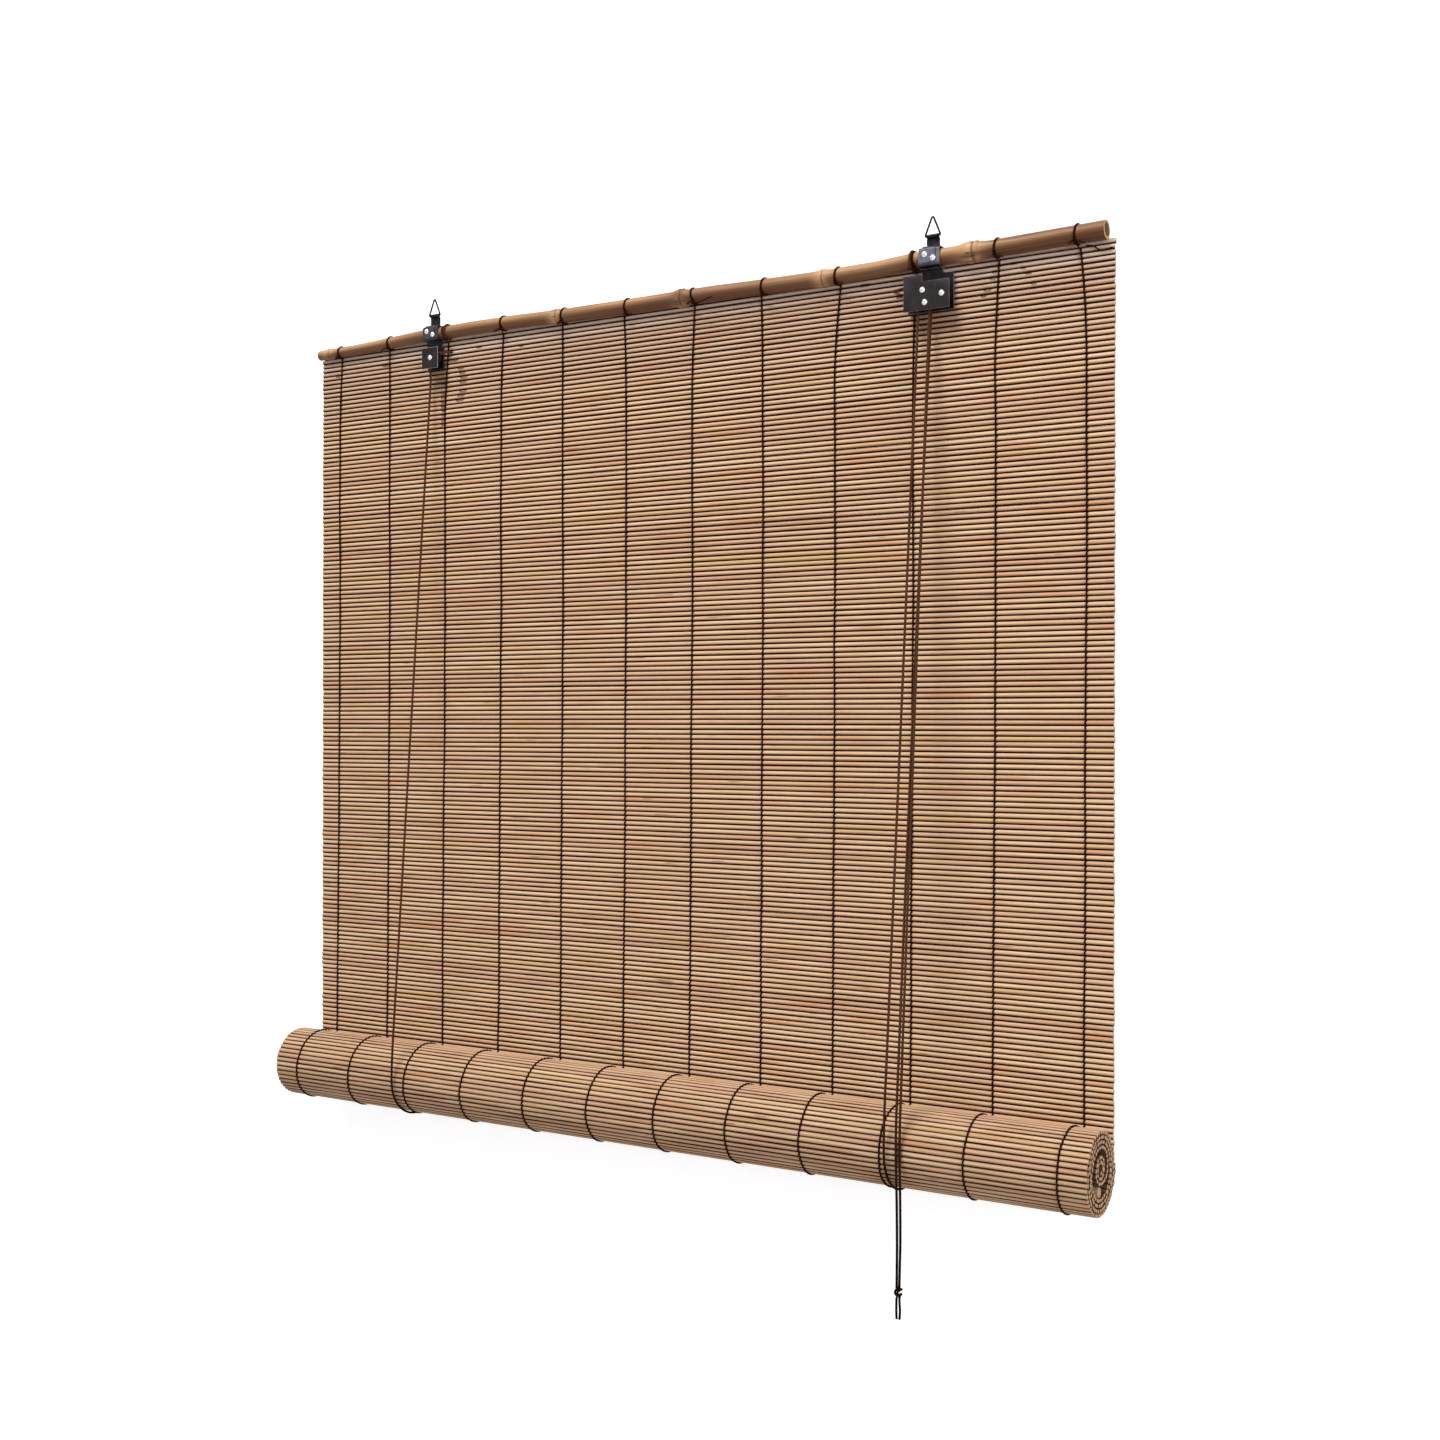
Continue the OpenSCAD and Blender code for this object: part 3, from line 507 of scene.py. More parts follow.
# a round yarn or cord along any path
yarnTree, yarnIn, yarnOut = treeFor("yarn along path", [
    ("Radius", "Float", 0.001), ("Sides", "Int", 8), ("Finish", "Material", None)])
line = addNode(yarnTree, "GeometryNodeMeshToCurve", {"Mesh": yarnIn["Geometry"]}).outputs["Curve"]
line = store(yarnTree, line, "along", addNode(yarnTree, "GeometryNodeSplineParameter").outputs["Length"])
circle = addNode(yarnTree, "GeometryNodeCurvePrimitiveCircle", {
    "Resolution": yarnIn["Sides"], "Radius": yarnIn["Radius"]}).outputs["Curve"]
circlePlace = addNode(yarnTree, "GeometryNodeInputPosition").outputs[0]
outward = addNode(yarnTree, "ShaderNodeVectorMath", {0: circlePlace}, operation="NORMALIZE").outputs[0]
circle = store(yarnTree, circle, "ring", outward, "FLOAT_VECTOR")
skin = addNode(yarnTree, "GeometryNodeCurveToMesh", {
    "Curve": line, "Profile Curve": circle, "Fill Caps": True}).outputs["Mesh"]
skin = through(yarnTree, "GeometryNodeSetShadeSmooth", skin)
skin = through(yarnTree, "GeometryNodeRealizeInstances", skin)
skin = through(yarnTree, "GeometryNodeSetMaterial", skin, Material=yarnIn["Finish"])
yarnTree.links.new(skin, yarnOut["Geometry"])


def smoothPath(points, step):  # even points on a smooth curve through the given ones
    p = [Vector(q) for q in points]
    out = []
    for i in range(len(p) - 1):
        b, c = p[i], p[i + 1]
        a = p[i - 1] if i else b * 2 - c
        d = p[i + 2] if i + 2 < len(p) else c * 2 - b
        parts = max(1, round((c - b).length / step))
        for k in range(parts):
            t = k / parts
            out.append(0.5 * (2 * b + (c - a) * t + (2 * a - 5 * b + 4 * c - d) * t * t
                              + (3 * b - a - 3 * c + d) * t ** 3))
    out.append(p[-1])
    return out


def yarn(name, paths, radius, sides, look):
    spots, edges = [], []
    for path in paths:
        first = len(spots)
        spots += [tuple(q) for q in path]
        edges += [(i, i + 1) for i in range(first, len(spots) - 1)]
    carrier = bpy.data.meshes.new(name)
    carrier.from_pydata(spots, edges, [])
    values = {"Radius": radius, "Sides": sides, "Finish": finish[look]}
    return grow(newPiece(name + "Line", carrier), yarnTree, values, name)


def finishPiece(piece, body, slotName, *stoodFor):
    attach(piece, body)
    if stoodFor:
        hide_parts(*stoodFor)
    return piece


# main places, read from the frame
matLow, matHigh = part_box("hanging_mat")
caneLow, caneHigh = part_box("head_cane")
matTop, matBottom = matHigh.z, matLow.z
matBack = (matLow.y + matHigh.y) / 2
matThick = matHigh.y - matLow.y
caneZ = (caneLow.z + caneHigh.z) / 2
rollSize = {"radius": 41.5 * mm, "turnPitch": 4.5 * mm, "gap": 0.3 * mm, "slatPitch": 5.266 * mm,
            "eyeStart": 1380, "eyeOver": 150, "eyeDraw": 7.5 * mm, "eyeRise": 3 * mm, "eyeRadius": 4.5 * mm}
rollZ = matBottom - rollSize["gap"]
rollY = matBack + matThick / 2 - rollSize["radius"]
warpCount, warpPitch = 12, 86 * mm
warps = [(i - (warpCount - 1) / 2) * warpPitch for i in range(warpCount)]


def shorten(piece):  # gives the piece a mesh of its own
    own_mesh(piece)


# cords: the two pull cords come first, along the same points as their solids
cordSize = {"radius": 1.25 * mm, "sides": 10, "step": 3 * mm}
pullFront = [  # in mm, from the housing to the knot
    (318.5, -7.7, -84), (318.5, -7.7, -95), (318.5, -8.2, -105), (318.5, -9.5, -120), (318.6, -14, -170),
    (318.8, -24, -283), (319, -38, -441), (319.2, -52, -600), (319.4, -66, -758), (319.5, -73.5, -848),
    (319.5, -75.7, -876), (319.6, -76.5, -896), (319.8, -76.7, -916), (320.4, -76.8, -950), (320.6, -77, -985),
    (320, -77, -1010), (319.6, -77, -1028)]
pullRear = [
    (318.5, -3.05, -84), (318.5, -3.05, -95), (318.4, -3.6, -105), (318.2, -5, -120), (317.8, -10, -170),
    (317.2, -21, -283), (316.6, -36, -441), (316.1, -51, -600), (315.8, -65.5, -758), (315.6, -73.5, -848),
    (315.6, -75.7, -876), (315.7, -76.5, -896), (316, -76.7, -916), (316.8, -76.8, -950), (317.2, -77, -985),
    (317, -77, -1010), (316.8, -77, -1028)]
axleX = {"left": -317 * mm, "right": 312.5 * mm}
axleZ = {"left": -68.6 * mm, "right": -71.8 * mm}
runY = {"rear": -3.05 * mm, "front": -7.7 * mm}  # the two cord planes in the housings
runRadius = 6 * mm
behindY = 8.58 * mm  # where a cord lies on the mat's back
freeZ = {"left": -86 * mm, "right": -96 * mm}  # under the housings
footZ = rollZ + 58 * mm  # over the roll


def overPulley(side, run, first, last):  # the cord's bend on a pulley, between two angles
    turns = [math.radians(first + (last - first) * share) for share in shares(12)]
    return [(axleX[side] + runRadius * math.cos(t), runY[run], axleZ[side] + runRadius * math.sin(t))
            for t in turns]


def offPulley(side, run, way):  # just below the bend, on the left (-1) or on the right (1)
    return axleX[side] + way * runRadius, runY[run], axleZ[side] - mm


def splitAt(path, z):  # upper and lower part of a hanging path, meeting at height z
    for i, (a, b) in enumerate(zip(path, path[1:])):
        if a.z >= z > b.z:
            cut = a.lerp(b, (a.z - z) / (a.z - b.z))
            return path[:i + 1] + [cut], [cut] + path[i + 1:]


def cordPiece(name, path):
    return yarn(name, [path], cordSize["radius"], cordSize["sides"], "cord")


# a cord is cut into a fixed head, a run and a foot; head and run become pieces and the foot is handed back
def hangCord(name, node, whole, fromZ):
    head, rest = splitAt(whole, fromZ)
    run, foot = splitAt(rest, footZ)
    headPiece, runPiece = cordPiece(name + "Head", head), cordPiece(name, run)
    finishPiece(headPiece, "frame", "cord")
    finishPiece(runPiece, "frame", "cord", node)
    shorten(runPiece)
    return runPiece, run, foot


def pullCord(name, node, start, route):
    whole = smoothPath(start + [tuple(v * mm for v in p) for p in route], cordSize["step"])
    run, runPath, tailPath = hangCord(name, node, whole, freeZ["right"])
    tail = cordPiece(name + "Tail", tailPath)
    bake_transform(tail)
    return (run, runPath), (tail, tailPath)


leftPull = pullCord("leftPullCord", "left_pull_cord", [offPulley("right", "rear", 1)], pullRear)
overFront = [offPulley("right", "front", -1)] + overPulley("right", "front", 180, 0)
rightPull = pullCord("rightPullCord", "right_pull_cord", overFront, pullFront)

knotSize = {"at": (318.2 * mm, -77 * mm, -1032 * mm), "thin": 0.96, "sides": 8, "step": 0.7 * mm,
            "start": -60, "turn": 480, "swell": 2.3, "lump": 0.5, "high": 6.0, "top": 3.1}


def knotPaths():  # both cords go once round themselves and hang out below
    paths = []
    for side in (-1, 1):
        loop = []
        for share in shares(24):
            t = math.radians(knotSize["start"] + knotSize["turn"] * share)
            swell = knotSize["swell"] + knotSize["lump"] * math.sin(1.5 * t)
            loop.append((side * 0.9 + swell * math.cos(t) * 0.95, swell * math.sin(t) * 0.8 + side * 0.5,
                         knotSize["top"] - knotSize["high"] * share + 0.9 * math.sin(t + side)))
        head = [(side * 1.4, 0, 6.5), (side * 1.3, -0.3, 4.6)]
        foot = [(side * 1.5, 0.2, -5.4), (side * 1.7, 0, -11), (side * 1.9, 0.3, -18), (side * 1.5, 0, -25.5)]
        centre = Vector(knotSize["at"])
        paths.append(smoothPath([centre + Vector(p) * mm for p in head + loop + foot], knotSize["step"]))
    return paths


pullKnot = yarn("pullKnot", knotPaths(), cordSize["radius"] * knotSize["thin"], knotSize["sides"], "cord")
finishPiece(pullKnot, "frame", "cord", "pull_knot")
print("pull cords ready")

# lift cords: down the front, under the roll and up the back to the cane
slingRadius = rollSize["radius"] + 0.3 * mm + cordSize["radius"]
slingX = {"left": -315 * mm, "right": 304 * mm}
tieX = {"left": -296.5 * mm, "right": 296.5 * mm}
frontY = rollY - slingRadius
backY = rollY + slingRadius
frontRun = {"straight": (12 * mm, 22 * mm), "leave": 30 * mm, "meet": 75 * mm, "inset": 2 * mm}
slingSize = {"rise": 1.1 * mm, "parts": 40}  # the spiral is a little smaller below
backRun = {"tieDrop": 9.6 * mm, "low": 40 * mm, "high": 14 * mm}
tieSize = {"beside": {"left": -1.7 * mm, "right": 1.7 * mm}, "start": -150, "thin": 0.98, "sides": 8,
           "knotWide": 2.1 * mm, "knotDeep": 0.8 * mm}
crossRun = {"left": -308 * mm, "right": 290 * mm, "turn": 26 * mm, "sag": 2 * mm}


def frontCord(side, run):  # returns the foot, which is part of the sling
    x, y, z = axleX[side] - runRadius, runY[run], axleZ[side]
    to = slingX[side]
    route = [offPulley(side, run, -1)] + [(x, y, z - drop) for drop in frontRun["straight"]]
    for t in shares(8):
        route.append((x + (to - x) * t, y + (frontY + frontRun["inset"] - y) * t,
                      z - frontRun["leave"] + (rollZ + frontRun["meet"] - z) * t))
    route += [(to, frontY + 0.5 * mm, rollZ + 22 * mm), (to, frontY, rollZ + 10 * mm), (to, frontY, rollZ)]
    whole = smoothPath(route, cordSize["step"])
    return hangCord(side + "FrontCord", side + "_front_cord", whole, freeZ[side])[-1]


def slingCord(side, foot):
    path = foot[:-1]
    for share in shares(slingSize["parts"]):
        t = math.radians(180 + 180 * share)
        r = slingRadius + slingSize["rise"] * math.sin(t)
        path.append((slingX[side], rollY + r * math.cos(t), rollZ + r * math.sin(t)))
    finishPiece(cordPiece(side + "Sling", path), "slings", "cord", side + "_sling")


# thickness of the cane: (place, radius), and its natural bend: (place, rise), level where the straps hold it
caneRadii = [(caneLow.x / mm, 5.9), (-319, 7.3), (0, 8.1), (319, 8.4), (caneHigh.x / mm, 9.1)]
caneBend = [(-502, -5), (-440, -4.4), (-365, -1.4), (-335, 0), (-303, 0), (-260, 0.9), (-200, 0.6),
            (-130, -1.2), (-50, -1.9), (60, -1.6), (120, -2.7), (199, -3.6), (260, -2.8), (300, 0),
            (340, 0), (400, 0.4), (450, 1.3), (505, 2.2)]
bendReach = 3 * mm


def caneRadius(x):
    return between(caneRadii, x / mm) * mm


def bendAt(x):
    return between(caneBend, max(x / mm, caneBend[0][0])) * mm


def caneMid(x):  # height of the cane's middle at x, with the bend's corners rounded
    return caneZ + sum(bendAt(x + d * bendReach) for d in range(-2, 3)) / 5


def backCord(side):
    x, to = slingX[side], tieX[side]
    top = caneZ - backRun["tieDrop"]
    low, high = rollZ + backRun["low"], top - backRun["high"]
    route = [(x, backY, rollZ), (x, backY, rollZ + 4 * mm), (x, behindY - 0.2 * mm, rollZ + 24 * mm)]
    route += [(x + (to - x) * t, behindY, low + (high - low) * t) for t in shares(8)]
    route += [(to, behindY - 0.2 * mm, top - 7 * mm), (to, behindY - 0.4 * mm, top)]
    piece = cordPiece(side + "BackCord", smoothPath(route, cordSize["step"]))
    finishPiece(piece, "frame", "cord", side + "_back_cord")
    shorten(piece)


def tieLoop(side):  # one turn round the cane and a small knot at the back
    x = tieX[side] + tieSize["beside"][side]  # close beside the lashing
    middle = caneMid(x)
    ring = caneRadius(x) + cordSize["radius"] + 0.1 * mm
    turns = [math.radians(tieSize["start"] + 360 * share) for share in shares(32)]
    loop = [(x, ring * math.cos(t), middle + ring * math.sin(t)) for t in turns]
    knot = []
    for share in shares(16):
        t = 3 * math.pi * share
        knot.append((x + tieSize["knotWide"] * math.sin(t),
                     behindY - 0.5 * mm + tieSize["knotDeep"] * math.cos(t), middle - (6 + 4.8 * share) * mm))
    paths = [loop, smoothPath(knot, mm)]
    piece = yarn(side + "TieLoop", paths, cordSize["radius"] * tieSize["thin"], tieSize["sides"], "cord")
    finishPiece(piece, "frame", "cord", side + "_cord_loop")


def crossCord():  # from the left pulley, behind the mat, to the right housing
    rear, turn = runY["rear"], crossRun["turn"]
    leftX, rightX = crossRun["left"], crossRun["right"]
    leftZ, rightZ = axleZ["left"] + runRadius, axleZ["right"] + runRadius
    path = [offPulley("left", "rear", -1)] + overPulley("left", "rear", 180, 90)
    path += [(leftX + turn * t, rear + (behindY - rear) * soften(t), leftZ) for t in shares(8)]
    for t in shares(12)[1:-1]:  # slack run behind the mat
        x = leftX + turn + (rightX - leftX - 2 * turn) * t
        sag = crossRun["sag"] * math.sin(math.pi * t)
        path.append((x, behindY, leftZ + (rightZ - leftZ) * t - sag))
    path += [(rightX - turn * (1 - t), behindY + (rear - behindY) * soften(t), rightZ) for t in shares(8)]
    path += overPulley("right", "rear", 90, 0) + [offPulley("right", "rear", 1)]
    finishPiece(cordPiece("crossCord", smoothPath(path, cordSize["step"])), "frame", "cord", "cross_cord")


feet = {"left": frontCord("left", "rear"), "right": frontCord("right", "front")}
for side in ("left", "right"):
    slingCord(side, feet[side])
    backCord(side)
    tieLoop(side)
crossCord()
print("lift cords ready")


# slats: one bar is set on every point of a carrier, with small differences between them
slatWave = {"along": 2.4, "toNext": 0.12, "detail": 1.5}  # neighbouring slats bend nearly alike
slatTree, slatIn, slatOut = treeFor("slats on points", [
    ("Bar", "Object", None), ("Seed", "Int", 1), ("Bend", "Float", 0.0005), ("End play", "Float", 0.001),
    ("Finish", "Material", None)])


def live(sockets):  # the sockets that a node shows for its data type
    return [s for s in sockets if s.enabled]


def named(name):
    node = addNode(slatTree, "GeometryNodeInputNamedAttribute", {"Name": name}, data_type="FLOAT")
    return node.outputs["Attribute"]


def vector(**parts):
    return addNode(slatTree, "ShaderNodeCombineXYZ", parts).outputs[0]


bar = addNode(slatTree, "GeometryNodeObjectInfo", {"Object": slatIn["Bar"]}, transform_space="ORIGINAL")
rotation = addNode(slatTree, "FunctionNodeEulerToRotation", {"Euler": vector(X=named("turn"))})
row = addNode(slatTree, "GeometryNodeInstanceOnPoints", {
    "Points": slatIn["Geometry"], "Instance": bar.outputs["Geometry"],
    "Rotation": rotation.outputs[0]}).outputs["Instances"]
rowTone = addNode(slatTree, "FunctionNodeRandomValue", {"Seed": slatIn["Seed"]}, data_type="FLOAT")
row = store(slatTree, row, "slatTone", live(rowTone.outputs)[0], domain="INSTANCE")
rowIndex = addNode(slatTree, "GeometryNodeInputIndex").outputs["Index"]
row = store(slatTree, row, "slatRow", rowIndex, domain="INSTANCE")

# ends that don't line up
rowPlay = addNode(slatTree, "FunctionNodeRandomValue", {
    "Seed": slatIn["Seed"], "ID": rowIndex}, data_type="FLOAT")
playLow, playHigh = [s for s in live(rowPlay.inputs) if s.name in ("Min", "Max")]
slatTree.links.new(calc(slatTree, "MULTIPLY", slatIn["End play"], -1.0), playLow)
slatTree.links.new(slatIn["End play"], playHigh)
row = addNode(slatTree, "GeometryNodeTranslateInstances", {
    "Instances": row, "Translation": vector(X=live(rowPlay.outputs)[0])}).outputs["Instances"]
row = through(slatTree, "GeometryNodeRealizeInstances", row)

# a slow bend along each slat
slatPlace = addNode(slatTree, "GeometryNodeInputPosition").outputs[0]
slatX = addNode(slatTree, "ShaderNodeSeparateXYZ", {0: slatPlace}).outputs["X"]
wavePlace = vector(X=calc(slatTree, "MULTIPLY", slatX, slatWave["along"]),
                   Y=calc(slatTree, "MULTIPLY", named("slatRow"), slatWave["toNext"]), Z=slatIn["Seed"])
wave = addNode(slatTree, "ShaderNodeTexNoise", {
    "Vector": wavePlace, "Scale": 1.0, "Detail": slatWave["detail"]}).outputs["Color"]
centred = addNode(slatTree, "ShaderNodeVectorMath", {0: wave, 1: (0.5, 0.5, 0.5)}, operation="SUBTRACT")
bend = addNode(slatTree, "ShaderNodeVectorMath", {
    0: centred.outputs[0], 1: vector(Y=slatIn["Bend"], Z=slatIn["Bend"])}, operation="MULTIPLY")
row = through(slatTree, "GeometryNodeSetPosition", row, Offset=bend.outputs[0])
row = through(slatTree, "GeometryNodeSetShadeSmooth", row)
row = through(slatTree, "GeometryNodeSetMaterial", row, Material=slatIn["Finish"])
slatTree.links.new(row, slatOut["Geometry"])

barSize = {"length": 1.003, "high": 5.5 * mm, "thick": 3.3 * mm, "power": 1.9, "cut": 0.35 * mm,
           "endShare": 0.93, "levels": (0, 0.62, 1), "sharpAngle": 50}


def slatBar(name, parts):  # rounded bar with cut ends; height and tip tell its finish where it darkens
    half, power = barSize["length"] / 2, barSize["power"]
    stations = [-half + barSize["cut"]]
    stations += [-half + barSize["length"] * k / parts for k in range(1, parts)]
    stations += [half - barSize["cut"]]
    rings = [(-half, barSize["endShare"], 1), *((x, 1, 0) for x in stations), (half, barSize["endShare"], 1)]
    quarter = [((1 - v ** power) ** (1 / power), v) for v in barSize["levels"]]
    section = quarter + [(-y, z) for y, z in quarter[-2::-1]]
    section += [(-y, -z) for y, z in quarter[1:]] + [(y, -z) for y, z in quarter[-2:0:-1]]
    n = len(section)
    spots, faces, marks = [], [], {"height": [], "tip": []}
    for x, share, end in rings:
        for y, z in section:
            spots.append((x, y * barSize["thick"] / 2 * share, z * barSize["high"] / 2 * share))
            marks["height"].append(z * share)
            marks["tip"].append(float(end))
    for i in range(len(rings) - 1):
        faces += joinRings(i, i + 1, n)
    faces.append(tuple(range(n))[::-1])
    faces.append(tuple(range(len(spots) - n, len(spots))))
    return newPiece(name, closedMesh(name, spots, faces, marks))


def slatPiece(name, look, spots, turns, innerShade):
    carrier = bpy.data.meshes.new(name)
    carrier.from_pydata(spots, [], [])
    markPoints(carrier, "turn", turns)
    markPoints(carrier, "innerShade", innerShade)
    barPiece = slatBar(name + "Bar", look["parts"])
    values = {"Bar": barPiece, "Seed": look["seed"], "Bend": look["bend"], "End play": look["endPlay"],
              "Finish": finish["slat"]}
    piece = grow(newPiece(name + "Points", carrier), slatTree, values, name)
    bpy.data.objects.remove(barPiece)
    markPoints(piece.data, "rolled", [look["rolled"]] * len(piece.data.vertices))
    piece.data.set_sharp_from_angle(angle=math.radians(barSize["sharpAngle"]))
    return piece


matLook = {"count": 162, "seed": 11, "bend": 1.6 * mm, "endPlay": 0.5 * mm, "tilt": 2.5, "parts": 5,
           "drift": -1.5 * mm, "playY": 0.2, "playZ": 0.025, "rolled": 0.0,
           "headY": 2.6 * mm, "headZ": 3.2 * mm, "headTurn": 0.1}  # the head slat lies behind the cane
chances = random.Random(5)
matSpots = [(0, matBack + matLook["headY"], matTop + matLook["headZ"])]
matTurns = [matLook["headTurn"]]
for i in range(matLook["count"]):
    y = matBack + chances.uniform(-matLook["playY"], matLook["playY"]) * mm
    down = (i + 0.5 + chances.uniform(-matLook["playZ"], matLook["playZ"])) * rollSize["slatPitch"]
    matSpots.append((matLook["drift"] * i / matLook["count"], y, matTop - down))
    matTurns.append(math.radians(chances.uniform(-matLook["tilt"], matLook["tilt"])))
hangingSlats = slatPiece("hangingSlats", matLook, matSpots, matTurns, [0.0] * len(matSpots))
finishPiece(hangingSlats, "frame", "bamboo", "hanging_mat")
shorten(hangingSlats)
print("hanging slats:", len(hangingSlats.data.polygons), "faces")


# roll: the turn starts at the back, goes down, then up the front; angles in degrees from its start
outerRadius = rollSize["radius"] - matThick / 2  # to the middle of the outer turn's slats


def drawnIn(a):  # how far the innermost turns are drawn together
    return soften(clamped((a - rollSize["eyeStart"]) / rollSize["eyeOver"]))


def turnRadius(a):
    return outerRadius - rollSize["turnPitch"] * a / 360 - rollSize["eyeDraw"] * drawnIn(a)


def slatStep(a):
    return math.degrees(rollSize["slatPitch"] / turnRadius(a))


def onRoll(a, lift):
    r = turnRadius(a) + lift
    t = math.radians(a)
    return rollY + r * math.cos(t), rollZ + rollSize["eyeRise"] * drawnIn(a) - r * math.sin(t)


rollTurns = (outerRadius - rollSize["eyeDraw"] - rollSize["eyeRadius"]) / rollSize["turnPitch"]
slatAngles = [0.0]
while slatAngles[-1] + slatStep(slatAngles[-1]) < rollTurns * 360:
    slatAngles.append(slatAngles[-1] + slatStep(slatAngles[-1]))
# painted shade: the slats inside the outer turn are painted dark
rollLook = {"seed": 23, "bend": 0.3 * mm, "endPlay": 0.4 * mm, "tilt": 3.0, "parts": 4, "rolled": 1.0,
            "shadeFrom": 350, "shadeOver": 20}  # inside the outer turn it is dark
rollSpots, rollTilts, innerTurnShade = [], [], []
for a in slatAngles:
    mid = a + slatStep(a) / 2
    rollSpots.append((0, *onRoll(mid, 0)))
    innerTurnShade.append(clamped((mid - rollLook["shadeFrom"]) / rollLook["shadeOver"]))
    tilt = chances.uniform(-rollLook["tilt"], rollLook["tilt"])
    rollTilts.append(math.pi - math.radians(mid) + math.radians(tilt))
rolledSlats = slatPiece("rolledSlats", rollLook, rollSpots, rollTilts, innerTurnShade)
finishPiece(rolledSlats, "roll", "bamboo", "slat_roll")
print("rolled slats:", len(slatAngles))


# warp threads: two strands twine round each slat in turn
# each warp's place: at the cane, half way down the mat, at its foot and on the roll, as read from the photo
warpShift = {
    "top": (5, -4, 1.5, -2.5, -4.5, -7, -2, -5, 1.5, 0.5, 0.5, -4.5),
    "mid": (0.5, -4.5, -4.5, -7, -4.8, -5, -5.5, -4, -5.5, -4.5, -3.5, 1.5),
    "foot": (-4.5, -9, -9, -11.5, -9, -9, -9.5, -7.5, -9, -8, -6.5, -1.5),
    "roll": (7, 2.5, 1, -2, -1.5, -2.5, -4, -3, -4.5, -3.5, -3.5, 1.5),
}
twine = {"radius": 0.95 * mm, "sides": 6, "sink": 0.8, "wander": 0.8 * mm, "slant": 0.6 * mm, "bow": 0.3,
         "overFrom": 0.27, "overTo": 0.73, "settle": 0.11, "leanFrom": 0.33, "rollEnd": 338, "rollEase": 200}
twineOff = matThick / 2 + twine["radius"] * twine["sink"]  # from the mat's middle to a strand's


def warpX(index, s):  # where a warp runs at the length s from the top of the mat
    top, mid, foot = (warpShift[k][index] * mm for k in ("top", "mid", "foot"))
    drop = matTop - matBottom
    near = max(0.0, 1 - s / twine["settle"])
    low = clamped((s - twine["leanFrom"]) / (drop - twine["leanFrom"]))
    drift = twine["wander"] * noise.noise(Vector((index * 7.7, s * 11.0, 2.5)))
    return warps[index] + mid + (top - mid) * near * near + (foot - mid) * low + drift


def overSlat(face):  # a strand on one slat: share of the slat, side that it lies on and slant
    bow = twine["bow"] * face
    return (0.0, 0.0, -face), (twine["overFrom"], face, bow), (twine["overTo"], face, -bow)


def matTwine(index, strand):
    path = []
    for i in range(matLook["count"]):
        face = -1 if (i + strand) % 2 == 0 else 1
        for share, lift, slant in overSlat(face):
            s = (i + share) * rollSize["slatPitch"]
            path.append((warpX(index, s) + slant * twine["slant"], matBack + lift * twineOff, matTop - s))
    path.append((warpX(index, matTop - matBottom), matBack, matBottom))
    return path


def rollTwine(index, strand):
    path = []
    foot, front = warpShift["foot"][index] * mm, warpShift["roll"][index] * mm
    for i, a in enumerate(slatAngles):
        if a > twine["rollEnd"]:
            break
        face = 1 if (i + strand) % 2 == 0 else -1
        reached = min(1, a / twine["rollEase"])  # from the mat's foot to the place on the roll's front
        drift = twine["wander"] * noise.noise(Vector((index, i * 0.2, 9)))
        x = warps[index] + foot + (front - foot) * reached + drift
        for share, lift, slant in overSlat(face):
            y, z = onRoll(a + share * slatStep(a), lift * twineOff)
            path.append((x + slant * twine["slant"], y, z))
    return path


stitchSize = {"radius": 0.8 * mm, "out": 0.7 * mm, "flat": 0.7, "tilt": 0.2 * mm}
stitches = [  # loose stitches in the gaps near the fittings: place, height and half length in mm
    (-282, -80.2, 4.0), (-280, -86.9, 4.5), (-278, -93.3, 5.0), (-279, -99.3, 5.0),
    (-279, -105.5, 5.0), (-282, -111.9, 5.5), (-284, -117.7, 5.5), (-309, -93.3, 3.2),
    (-309, -99.7, 3.2), (-309, -105.7, 3.2), (-309, -111.5, 3.2), (-309, -117.4, 3.2),
    (-309, -123.3, 3.2), (-308, -129.2, 3.2), (-308, -135.3, 3.2), (-309, -140.1, 3.0),
    (-309, -145.8, 3.0), (-294, -73.1, 8.0), (-263, -52.5, 3.0), (-255, -59.8, 4.0),
    (-398, -67.4, 6.5), (-476, -70.5, 4.0), (-193, -68.2, 2.5), (403, -55.3, 2.2), (412, -62.3, 2.4),
    (417, -68.1, 3.0), (422, -73.8, 2.2), (382, -62.6, 2.2), (380, -68.2, 3.0), (375, -74.1, 3.4),
    (371, -80.4, 2.2), (281, -72.1, 3.0), (243, -57.2, 5.0)]


def stitch(x, z, half):  # a short end that lies in the gap nearest to its height
    gap = matTop - round((matTop - z * mm) / rollSize["slatPitch"]) * rollSize["slatPitch"]
    front = matBack - matThick / 2
    out, tilt, flat = stitchSize["out"], stitchSize["tilt"], half * stitchSize["flat"]
    return [((x - half) * mm, front + out, gap - tilt), ((x - flat) * mm, front - out, gap),
            ((x + flat) * mm, front - out, gap), ((x + half) * mm, front + out, gap + tilt)]


def twinePiece(name, strandOf):  # both strands of every warp
    paths = [strandOf(index, strand) for index in range(warpCount) for strand in (0, 1)]
    return yarn(name, paths, twine["radius"], twine["sides"], "thread")


warpTwine = twinePiece("warpTwine", matTwine)
finishPiece(warpTwine, "frame", "thread", "mat_threads")
stitchPaths = [stitch(*spot) for spot in stitches]
looseStitches = yarn("looseStitches", stitchPaths, stitchSize["radius"], twine["sides"], "thread")
finishPiece(looseStitches, "frame", "thread")
for piece in (warpTwine, looseStitches):
    shorten(piece)
finishPiece(twinePiece("rollTwine", rollTwine), "roll", "thread", "roll_threads")
print("warp threads:", len(warpTwine.data.polygons), "faces")


